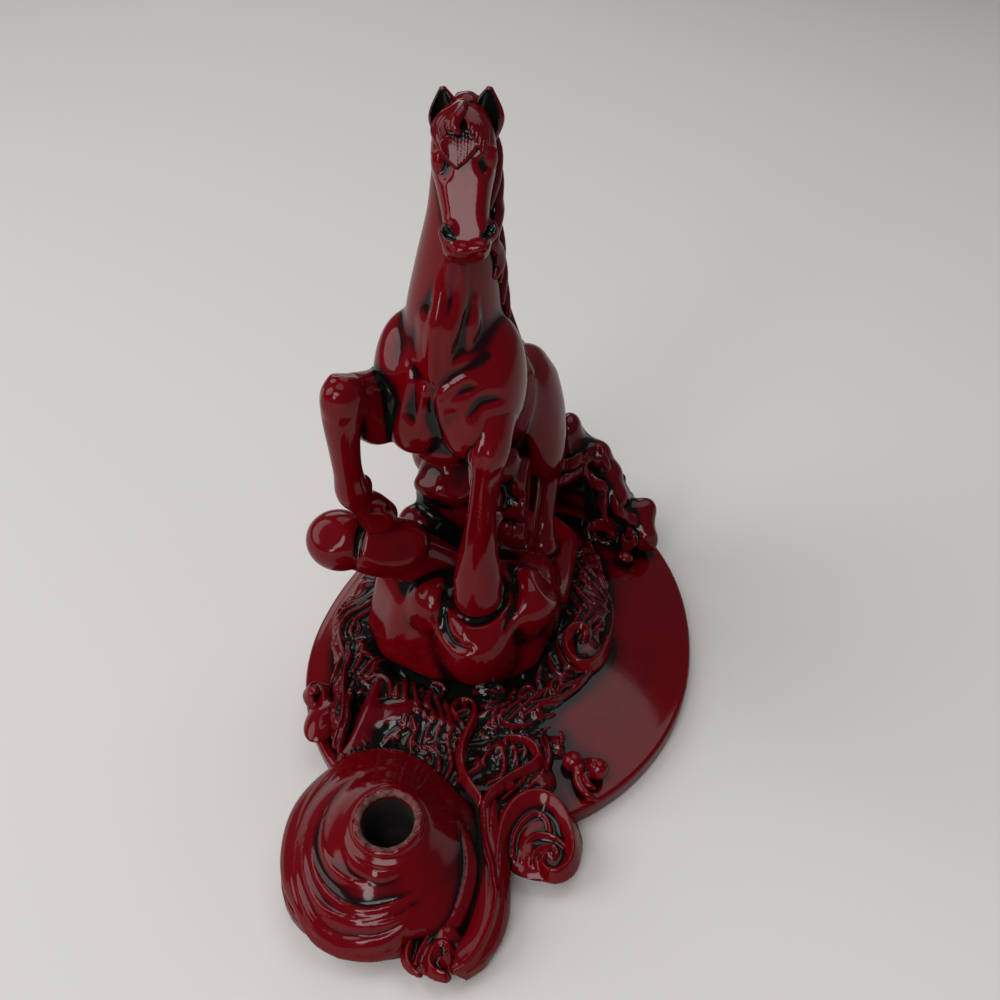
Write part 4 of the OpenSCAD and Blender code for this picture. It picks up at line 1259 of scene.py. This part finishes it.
LEFT_HOOK = (
    [(313, 696), (309, 691), (309, 685), (313, 681), (318, 682), (322, 688), (323, 698), (323, 710),
     (322, 722), (328, 740)],
    [12, 12.6, 12.6, 12, 11.4, 10.8, 9.8, 8],
    [1.0, 1.6, 2.4, 3.6, 4.8, 5.2, 3.6],
)

RIGHT_BANK = [
    [10, -18, 5, 7.6], [14.5, -11, 5, 8.4], [18.5, 0, 5.2, 9], [19.5, 12, 5.4, 9], [18, 28, 5.8, 8.8],
    [15, 42, 6, 8],
]
RIGHT_LINES = [
    ([(590, 538), (594, 550), (598, 564), (601, 577), (606, 588), (611, 598), (613, 610), (612, 623),
      (609, 636), (604, 648), (597, 658), (590, 668), (580, 680), (568, 690), (552, 699), (540, 707),
      (533, 711)], [0.8, 1.2, 1.5, 1.5, 1.2, 0.9]),
    ([(569, 540), (572, 552), (578, 562), (585, 570), (591, 578)], [0.8, 1.3, 0.9]),
    ([(580, 538), (583, 552), (590, 565), (598, 575)], [0.6, 1.0, 0.6]),
    ([(585, 586), (588, 581), (594, 580), (600, 586), (605, 593), (607, 599), (603, 602), (596, 598),
      (589, 592)], [0.8, 1.2, 0.8]),
    ([(557, 599), (568, 609)], [1.3, 1.3]),
    ([(566, 589), (581, 606)], [1.4, 1.4]),
    ([(577, 588), (590, 603)], [0.9, 0.9]),
    ([(583, 588), (596, 600)], [0.8, 0.8]),
    ([(562, 617), (558, 628), (557, 640), (560, 650), (567, 661), (577, 667), (586, 668)],
     [0.8, 1.2, 0.9]),
    ([(555, 621), (550, 632), (543, 644), (538, 653), (536, 660)], [0.8, 1.3, 0.8]),
    ([(551, 634), (548, 645), (549, 656), (554, 666), (563, 672), (573, 673)], [0.7, 1.3, 0.8]),
    ([(591, 666), (582, 675), (570, 680), (560, 683)], [0.8, 1.0, 0.7]),
    ([(588, 678), (577, 686), (563, 692), (549, 696), (537, 699), (529, 700)], [0.8, 1.1, 0.8]),
    ([(565, 697), (550, 701), (539, 705), (530, 708), (524, 706), (520, 700), (519, 692), (522, 686),
      (528, 683), (533, 686), (531, 691)], [0.7, 1.2, 1.4, 0.9]),
    ([(567, 682), (560, 689), (554, 688), (551, 682), (554, 676), (560, 675), (563, 679)],
     [0.6, 1.0, 0.7]),
    ([(541, 657), (540, 663), (538, 670), (537, 679)], [1.2, 1.1, 0.6]),
]
RIGHT_HOLLOWS = [((21.4, 3.8, 16), (4, 4.4, 4.4))]
MAIN_CURL = (
    [(609, 634), (604, 647), (597, 655), (588, 659), (578, 658), (570, 652), (566, 644), (565, 634),
     (568, 626), (575, 621), (582, 621), (587, 625), (588, 631), (585, 636)],
    [13, 14, 15, 15.8, 16, 15.6, 15],
    [1.8, 2.4, 2.4, 2.4, 2, 1.2],
)
INNER_CURL = ([(604, 611), (601, 620), (595, 627), (590, 632)], [14, 14, 13], [0.8, 1.2, 0.8])

# The hubs that carry the curls: place and radii. Their eyes: pixel, height and radii
LEFT_HUB = ((-35.4, -30.5, 6), (4.9, 8.6, 5.2))
LEFT_EYE = ((315, 690), 12, (1.3, 1.3, 1.3))
RIGHT_HUB = ((22, 5, 9), (6.4, 6.8, 4))
RIGHT_EYE = ((585, 634), 14.5, (1.1, 1.1, 1.3))


def curl(name, rims, hub, eye, lean):
    """A curl of a wave: crests that wind in to an eye, on a low hub that carries them."""
    clay = Clay(low(name) - [6, 10, 3], high(name) + 4, cube=0.3)
    clay.add(lump(*hub), blend=0.1)
    for rim in rims:
        clay.add(blade(over(*rim), drop=3.2, sharp=0.5, lean=lean), blend=0.5)
    pixel, z, radii = eye
    clay.add(lump(at_height(pixel, z), radii), blend=0.3)
    piece(name + "_carved", [name], "lacquer", clay.soften(0.2))


REAR_LUMPS = [
    ((569, 430), 62, (3.6, 5, 5)), ((572, 450), 61, (5, 5, 5)), ((597, 455), 62, (4.2, 4.6, 4.2)),
    ((607, 476), 61, (4.6, 4.6, 5)), ((613, 500), 58, (4.6, 4.6, 5)), ((645, 509), 60, (3.3, 3.3, 3.3)),
    ((634, 520), 58, (4.2, 4, 4)),
]
REAR_LINES = [
    ([(589, 533), (590, 523), (597, 518), (606, 518), (613, 523), (613, 530), (606, 533)],
     [1.0, 1.4, 1.4, 0.9]),
    ([(595, 524), (596, 533), (601, 539), (610, 540)], [0.8, 1.2, 0.8]),
    ([(624, 530), (625, 537), (630, 539), (634, 534), (632, 527), (627, 525)], [0.8, 1.2, 0.8]),
    ([(606, 490), (606, 503), (608, 514), (615, 519)], [1.0, 1.4, 1.0]),
    ([(614, 493), (620, 503), (628, 510), (636, 514)], [1.0, 1.6, 1.0]),
    ([(562, 458), (572, 456), (582, 450)], [1.0, 1.3, 0.8]),
    ([(562, 474), (572, 470), (583, 463)], [0.9, 1.2, 0.8]),
    ([(585, 462), (590, 469), (597, 476), (606, 480)], [0.9, 1.4, 0.9]),
    ([(586, 452), (590, 446), (597, 443), (604, 449), (608, 457)], [1.0, 1.5, 1.0]),
]

# Swirl with the pen hole
TERRACES = [
    ([(330, 800), (323, 820), (321, 842), (327, 860), (338, 872), (352, 880), (368, 883)],
     [0.5, 1.4, 1.6, 0.6]),
    ([(318, 812), (311, 838), (312, 862), (320, 882), (336, 899), (353, 907), (370, 909), (388, 905),
      (406, 899), (420, 892)], [0.5, 1.6, 2.0, 1.8, 0.8]),
    ([(308, 825), (303, 850), (306, 878), (318, 902), (335, 913), (352, 918), (371, 918), (390, 913),
      (408, 905)], [0.5, 1.4, 1.6, 0.8]),
    ([(449, 790), (462, 832), (466, 869), (453, 915), (432, 936)], [0.5, 1.2, 1.6, 1.2, 0.5]),
    ([(318, 914), (338, 922), (360, 925), (380, 923), (399, 917), (414, 908)], [0.5, 1.2, 0.8]),
    ([(297, 838), (295, 868), (301, 897), (315, 922), (338, 936), (360, 939), (381, 937), (400, 928),
      (413, 916)], [0.6, 1.6, 2.4, 2.0, 0.8]),
    ([(290, 850), (290, 880), (298, 908), (314, 933), (335, 946), (354, 950), (374, 951), (391, 947),
      (400, 938)], [0.6, 1.4, 1.8, 1.2]),
]
COLLAR = (
    [(343, 836), (347, 848), (355, 858), (366, 865), (380, 869), (396, 867), (408, 858)],
    [0.6, 1.6, 1.8, 0.6],
)
UPPER_RIM = (
    [(296, 832), (306, 805), (322, 782), (340, 763), (357, 753), (374, 749), (395, 749)],
    [0.6, 1.8, 2.2, 0.8],
)
VALLEY = [[4.5, -50, 4, 5], [7.5, -58, 3.6, 5], [9, -66, 3.2, 5], [9.5, -73, 2.8, 4.6], [7.5, -79, 2.4, 4]]
# The lip around the pen hole, and the chips that the drill broke out of it
LIP_R = 1.0
LIP_SINK = 0.9
CHIPS = 11
CHIP_RADII = np.array([1.1, 0.9, 0.6])
CHIP_VARIES = 0.5
CHIP_OUT = 0.5
CHIP_LIFT = 0.1
# The lacquer is broken this far around the hole and down to this depth, and the bore is bare from there on,
# its cast painted nearly black as the shade deep in the hole
BROKEN_W = 1.1
BROKEN_DEPTH = 1.0
BORE_TOP = 0.8
BORE_ROOM = 0.15


def pen_ring(radius, along, count):
    """Points of a ring around the pen's axis, at a distance along it from the mouth."""
    u = unit(np.cross(PEN_AXIS, [1, 0, 0]))
    v = np.cross(PEN_AXIS, u)
    turn = 2 * math.pi * np.arange(count + 1) / count
    return [PEN_MOUTH + PEN_AXIS * along + radius * (math.cos(t) * u + math.sin(t) * v) for t in turn]


def bare_bore(made):
    """Bares the cast where the edge of the pen hole is chipped, and inside the hole, painted nearly black
    there as shade.
    """
    centres = np.array([p.center for p in made.data.polygons]) / MM - PEN_MOUTH
    along = centres @ PEN_AXIS
    away = np.linalg.norm(centres - along[:, None] * PEN_AXIS, axis=1)
    chipped = (away < PEN_R + BROKEN_W) & (along > -BROKEN_DEPTH)
    inside = (away < PEN_R + BORE_ROOM) & (along < -BORE_TOP)
    lacquered, chips, bore = range(3)
    made.data.materials.append(BARE)
    # The bore gets the bare cast painted nearly black as painted shade
    made.data.materials.append(BORE_IN_PAINTED_SHADE)
    index = np.where(inside, bore, np.where(chipped, chips, lacquered))
    made.data.polygons.foreach_set("material_index", index.astype(np.int32))


def pen_swirl():
    clay = Clay(low("pen_socket") - 1, high("pen_socket") + [4, 3, 1], cube=0.35)
    clay.add(node_skin("pen_socket"), blend=0.1).add(stroke(spline(VALLEY, 6)), blend=4).soften(1.8)
    body = clay.copy()
    crests(clay, body, TERRACES, lift=0.9, drop=1.8, sharp=0.5, lean=-0.45)
    crests(clay, body, [COLLAR], lift=0.7, drop=1.6, sharp=0.5, lean=-0.3)
    crests(clay, body, [UPPER_RIM], lift=0.7, drop=1.6, sharp=0.3)
    clay.soften(0.25)
    clay.add(stroke([[*p, LIP_R] for p in pen_ring(PEN_R + LIP_R, -LIP_SINK, count=48)]), blend=0.6)
    bore = [[*(PEN_MOUTH - PEN_AXIS * d), PEN_R] for d in (PEN_DEPTH - PEN_R, -PEN_R)]
    clay.cut(stroke(bore), blend=0.1)
    for k, place in enumerate(pen_ring(PEN_R + CHIP_OUT, CHIP_LIFT, CHIPS)[:CHIPS]):
        radii = CHIP_RADII + [CHIP_VARIES * math.sin(2.4 * k), 0, 0]
        clay.cut(lump(place, radii), blend=0.15)
    bare_bore(piece("pen_swirl", ["pen_socket"], "lacquer", clay))


STEM_BODY = [
    [8.5, -47, 5.5, 4.5], [10.5, -56, 5, 4.8], [13, -66, 4.2, 4.8], [14.4, -73, 3.6, 4.6],
    [14, -79, 3, 4.2], [11, -83.5, 2.8, 3.6],
]
STEM_CREST = [
    (483, 795), (484, 812), (485, 830), (488, 847), (492, 861), (494, 876), (496, 890), (494, 908),
    (488, 928), (478, 947), (465, 961), (452, 969),
]
STEM_STRANDS = [
    ([(513, 778), (505, 784), (498, 791), (494, 801), (492, 813), (491, 826), (492, 840)],
     [0.5, 0.9, 0.8, 0.5]),
    ([(506, 812), (503, 828), (501, 845), (500, 862), (499, 880), (498, 895)], [0.6, 0.9, 0.9, 0.5]),
]


def stem():
    clay = Clay(low("swirl_stem") - [1, 1, 0], high("swirl_stem") + [2, 3, 3], cube=0.3)
    clay.add(stroke(spline(STEM_BODY, 6)), blend=0.1)
    body = clay.copy()
    crests(clay, body, [(STEM_CREST, [1.1, 1.5, 1.7, 1.5, 1.1])], lift=1.7, drop=3.0, blend=0.4)
    crests(clay, clay.copy(), STEM_STRANDS, lift=1.2, drop=2.2)
    piece("stem_carved", ["swirl_stem"], "lacquer", clay.soften(0.2))


HOOK_STRANDS = [
    ([(430, 912), (420, 921), (412, 933), (407, 946), (407, 957), (412, 966), (420, 972)],
     [8.5, 7.5, 6.5, 5.6], [1.2, 1.7, 1.2]),
    ([(433, 925), (426, 937), (419, 950), (415, 962)], [8, 7, 6], [1.0, 1.4, 0.8]),
    ([(445, 971), (433, 966), (429, 958), (431, 949), (436, 942), (443, 939), (449, 943), (449, 950),
      (444, 953)], [6.6, 7, 8, 9], [1.6, 1.7, 1.5, 1.0]),
]

# The hub of the hook: place and radii. Its eye: pixel, height and radii
HOOK_HUB = ((7, -81.5, 3.0), (6.4, 6, 3.8))
HOOK_EYE = ((446, 934), 6, (2.2, 2.2, 2.0))


def front_hook():
    clay = Clay(low("front_curl") - [3, 2, 0], high("front_curl") + [6, 8, 3], cube=0.3)
    clay.add(lump(*HOOK_HUB), blend=0.1)
    pixel, z, radii = HOOK_EYE
    clay.add(lump(at_height(pixel, z), radii), blend=1.2)
    for strand in HOOK_STRANDS:
        clay.add(blade(over(*strand), drop=3, sharp=0.4), blend=0.5)
    piece("front_hook", ["front_curl"], "lacquer", clay.soften(0.2))


SCROLL_RIM = (
    [(496, 860), (497, 846), (499, 830), (503, 815), (509, 804), (517, 795), (527, 790), (538, 788),
     (549, 791), (559, 799), (567, 812), (572, 827), (574, 842), (572, 854), (566, 863), (557, 868),
     (548, 867), (542, 861), (542, 855), (547, 850), (553, 851)],
    [9.4, 9.8, 10.6, 10.8, 10.2, 9.2, 8.2, 7.6, 7.4, 8],
    [2.0, 2.6, 3.0, 2.8, 2.4, 2.2, 2.0, 1.8, 1.2],
)
SCROLL_BANDS = [
    ([(512, 852), (513, 838), (517, 826), (525, 816), (534, 810), (542, 811), (548, 818), (551, 828)],
     [7.6, 8.6, 8], [1.2, 2, 1.2]),
    ([(521, 858), (523, 845), (528, 837), (537, 831), (548, 831), (558, 836), (565, 845), (568, 855)],
     [7, 8.2, 7], [1.0, 1.8, 1.2]),
    ([(532, 861), (533, 851), (539, 845), (547, 842), (555, 843), (558, 849)], [7.4, 8.6, 8],
     [1.0, 1.8, 1.0]),
]

# The pad that carries the scroll, and the bowl in it: place and radii
SCROLL_PAD = ((22, -52.5, 2.5), (9.8, 10.6, 5))
SCROLL_BOWL = ((23.5, -54, 10.5), (6.5, 7.5, 4.5))


def scroll():
    clay = Clay(low("side_scroll") - [3, 2, 0], high("side_scroll") + [2, 2, 3], cube=0.3)
    clay.add(lump(*SCROLL_PAD), blend=0.1)
    clay.cut(lump(*SCROLL_BOWL), blend=1.0)
    for line in SCROLL_BANDS:
        clay.add(blade(over(*line), drop=2.6, sharp=0.7, lean=0.3), blend=0.4)
    clay.add(blade(over(*SCROLL_RIM), drop=3.4, sharp=0.3, lean=0.25), blend=0.6)
    piece("scroll_carved", ["side_scroll"], "lacquer", clay.soften(0.2))


TENDRIL_LEFT = (
    [(456, 712), (452, 706), (454, 699), (460, 696), (467, 696), (473, 699), (476, 706), (474, 714),
     (470, 722), (466, 732), (463, 742), (462, 752), (463, 762), (467, 772), (472, 780), (481, 793)],
    [1.6, 1.8, 1.8, 2.2, 2.4, 2.4],
)
TENDRIL_RIGHT = (
    [(506, 741), (505, 737), (508, 734), (514, 733), (522, 734), (531, 738), (537, 745), (538, 752),
     (534, 758), (525, 764), (512, 771), (500, 779), (491, 787), (484, 800)],
    [1.4, 1.8, 2.2, 2.4, 2.4, 2.4],
)


def tendril(name, line, lean, foam_body):
    """A tendril with a thin crest and flanks of different widths, on the foam."""
    clay = Clay(low(name) - [3, 3, 4], high(name) + 3, cube=0.25)
    crests(clay, foam_body, [line], lift=3.3, drop=4.2, sharp=0.45, lean=lean)
    piece(name + "_carved", [name], "lacquer", clay.soften(0.2))


# Oval base
EDGE_ROUND = 1.2
DOME_SIDES = 200
DOME_RINGS = 40
# How steeply the dome falls to its edge, how far under the plate's top that lies, and how far the foot is
# drawn in
DOME_POWER = 2.2
EDGE_SINK = 0.6
FOOT_INSET = 0.3


def oval_dome():
    """The egg-shaped dome. Its widest place and its reach to the front and rear are those of the solid."""
    corners = np.array([v.co for v in frame["nodes"]["base_dome"].data.vertices]) / MM
    middle = corners[np.argmax(corners[:, 0]), 1]
    half, rear, _ = high("base_dome") - [0, middle, 0]
    front = middle - low("base_dome")[1]
    edge = PLATE_TOP - EDGE_SINK
    profile = []
    for f in np.linspace(0.01, 1 - EDGE_ROUND / half, DOME_RINGS):
        profile.append([f, edge + (DOME_TOP - edge) * (1 - f ** DOME_POWER)])
    rim = profile[-1][1] - EDGE_ROUND
    for a in np.linspace(0.15, 1, 8) * math.pi / 2:
        profile.append([1 - EDGE_ROUND * (1 - math.sin(a)) / half, rim + EDGE_ROUND * math.cos(a)])
    profile.append([1 - FOOT_INSET / half, FELT_TOP])
    turn = 2 * math.pi * np.arange(DOME_SIDES) / DOME_SIDES
    x = half * np.cos(turn)
    y = np.where(np.sin(turn) > 0, rear, front) * np.sin(turn)
    rings = []
    for share, z in reversed(profile):
        rings.append(np.column_stack([share * x, middle + share * y, np.full(DOME_SIDES, z)]))
    ends = [[0, middle, FELT_TOP], [0, middle, DOME_TOP]]
    piece("oval_dome", ["base_dome"], "lacquer", mesh=ringed(rings, ends))


# How far the shown plate stays inside the solid one
PLATE_INSET = 0.8


def plate():
    clay = Clay(low("base_plate") - 0.5, high("base_plate") + 0.5, cube=0.5)
    clay.add(node_skin("base_plate"), blend=0.1)
    clay.field += PLATE_INSET
    piece("plate", ["base_plate"], "lacquer", clay)


DIMPLE = (556, 738)
SHELL = [
    [(594, 760), (586, 762), (580, 768), (578, 777), (581, 787), (588, 795), (597, 800)],
    [(592, 765), (587, 769), (585, 776), (588, 784), (594, 788)],
]


def beads():
    clay = Clay(low("foam_beads") - [3, 9, 3], high("foam_beads") + 3, cube=0.3)
    clay.add(node_skin("foam_beads"), blend=0.05)
    clay.cut(lump(touch(clay, DIMPLE), (1.1, 1.1, 1.1)), blend=0.3)
    carrier = clay.copy().add(node_skin("base_dome"), blend=0.1)
    for line in SHELL:
        clay.add(stroke(drawn(carrier, line, [0.6, 1.1, 1.2, 0.9, 0.5])), blend=0.2)
    piece("beads", ["foam_beads"], "lacquer", clay)


trunk = horse_trunk()
torso = skin(loft(horse(TORSO)))
planted_foreleg(torso)
raised_foreleg(torso)
hind_leg("right_hind_leg", 1, 0, trunk.shape())
hind_leg("left_hind_leg", -1, LEFT_HIND_BACK, trunk.shape())
head = horse_head()
horse_ears()
horse_forelock(head)
horse_mane(trunk)
horse_tail()
boulder()
spur()
belly_lumps()
foam_body = foam()
wave("wave_left", LEFT_LINES, [LEFT_BANK, LEFT_FOAM], patches=LEFT_PATCHES, rough=1.5, core=False)
wave("wave_right", RIGHT_LINES, [RIGHT_BANK], hollows=RIGHT_HOLLOWS, rough=1.0, core=False)
wave("wave_rear", REAR_LINES, lumps=REAR_LUMPS, ribbed=True)
curl("curl_left", [LEFT_HOOK], LEFT_HUB, LEFT_EYE, 0.0)
curl("curl_right", [MAIN_CURL, INNER_CURL], RIGHT_HUB, RIGHT_EYE, 0.4)
pen_swirl()
stem()
front_hook()
scroll()
tendril("tendril_left", TENDRIL_LEFT, 0.3, foam_body)
tendril("tendril_right", TENDRIL_RIGHT, 0.0, foam_body)
oval_dome()
plate()
beads()

# Stain and painted shade: how deep each point lies in the hollows of the whole figure
STAIN_CUBE = 0.7
EVEN_STAIN = 0.35
# Widths over which the figure is softened, and weights of how far a point then lies inside it
GROOVE_WIDTH = 0.8
SEAM_WIDTH = 0.9
SEAM_WEIGHT = 0.7
VALLEY_WIDTH = 2.2
VALLEY_WEIGHT = 0.45
NOOK_WIDTH = 5.6
NOOK_WEIGHT = 0.12


def stain_and_shade_hollows():
    """Writes to each point how deep it lies: in grooves of its piece, in seams and valleys, or in nooks.
    Grooves and seams hold the dark stain; valleys and nooks are darkened further as painted shade.
    """
    whole = Clay(np.array(solid_box[0]) / MM, np.array(solid_box[1]) / MM, STAIN_CUBE)
    for _, mesh, _ in PIECES.values():
        whole.add(skin(mesh), blend=0.01)
    whole.field = np.clip(whole.field, -FAR, FAR)
    seams = whole.copy().soften(SEAM_WIDTH)
    valleys = whole.copy().soften(VALLEY_WIDTH)
    nooks = whole.copy()
    nooks.field = np.ascontiguousarray(whole.field[::2, ::2, ::2])
    nooks.cube = 2 * whole.cube
    nooks.count = np.array(nooks.field.shape)
    nooks.soften(NOOK_WIDTH)
    for name, (made, (points, _, _), clay) in PIECES.items():
        # Stain in the seams, and painted shade in the valleys and nooks
        depth = EVEN_STAIN - SEAM_WEIGHT * seams.sample(points) - VALLEY_WEIGHT * valleys.sample(points)
        depth -= NOOK_WEIGHT * np.minimum(nooks.sample(points), 0)
        if clay:
            depth -= clay.copy().soften(GROOVE_WIDTH).sample(points)
        # Nostril and ear holes are painted black, as their stain and the shade deep in them
        for hollow in DARKENED_HOLES.get(name, []):
            depth = np.where(hollow.distance(*np.asarray(points, float).T) < DARKENED_HOLE_REACH, 1, depth)
        layer = made.data.attributes.new(STAIN_AND_SHADE_DEPTH, "FLOAT", "POINT")
        layer.data.foreach_set("value", np.clip(depth, 0, 1).astype(np.float32))


stain_and_shade_hollows()

# Floor, light and world
# All in metres
FLOOR_HALF = 3
FIGURE = (0, 0, 0.06)
# Lamps: place, target, width, height, and power in watts
LAMPS = {
    "left_softbox": ((-0.9, -0.25, 0.8), FIGURE, 1.2, 1.0, 7.5),
    "overhead_softbox": ((0.15, 0.35, 1.0), (0.02, 0, 0.06), 0.9, 1.0, 2.8),
    "front_softbox": ((-0.02, -0.74, 0.7), FIGURE, 0.6, 0.42, 3.6),
    "rear_softbox": ((-0.5, 1.1, 0.6), FIGURE, 0.8, 0.5, 2),
    "low_window": ((-0.3, -1.2, 0.5), FIGURE, 0.3, 0.4, 2.4),
}


def stage():
    """A floor of pale matt paper."""
    mesh = bpy.data.meshes.new("floor")
    corners = [(x * FLOOR_HALF, y * FLOOR_HALF, 0) for x, y in ((-1, -1), (1, -1), (1, 1), (-1, 1))]
    mesh.from_pydata(corners, [], [(0, 1, 2, 3)])
    paper, _ = material("pale_paper", {"Base Color": linear("#d9d6d2"), "Roughness": 0.9})
    mesh.materials.append(paper)
    floor = bpy.data.objects.new("floor", mesh)
    bpy.context.collection.objects.link(floor)


def lamp(name, place, target, width, height, power):
    data = bpy.data.lights.new(name, "AREA")
    data.shape = "ELLIPSE"
    data.size = width
    data.size_y = height
    data.energy = power
    made = bpy.data.objects.new(name, data)
    bpy.context.collection.objects.link(made)
    made.location = place
    aim = unit(np.array(target) - np.array(place))
    made.rotation_euler = (math.acos(-aim[2]), 0, math.atan2(-aim[0], aim[1]))


stage()
for lamp_name, setting in LAMPS.items():
    lamp(lamp_name, *setting)
world = bpy.data.worlds.new("studio")
world.use_nodes = True
world.node_tree.nodes["Background"].inputs["Color"].default_value = linear("#c8c8cc")
world.node_tree.nodes["Background"].inputs["Strength"].default_value = 0.2
bpy.context.scene.world = world

for row in frame["record"]["subparts"]:
    solid = frame["nodes"][row["node"]]
    solid.data.materials.clear()
    solid.data.materials.append(FINISHES[row["material_slot"]])
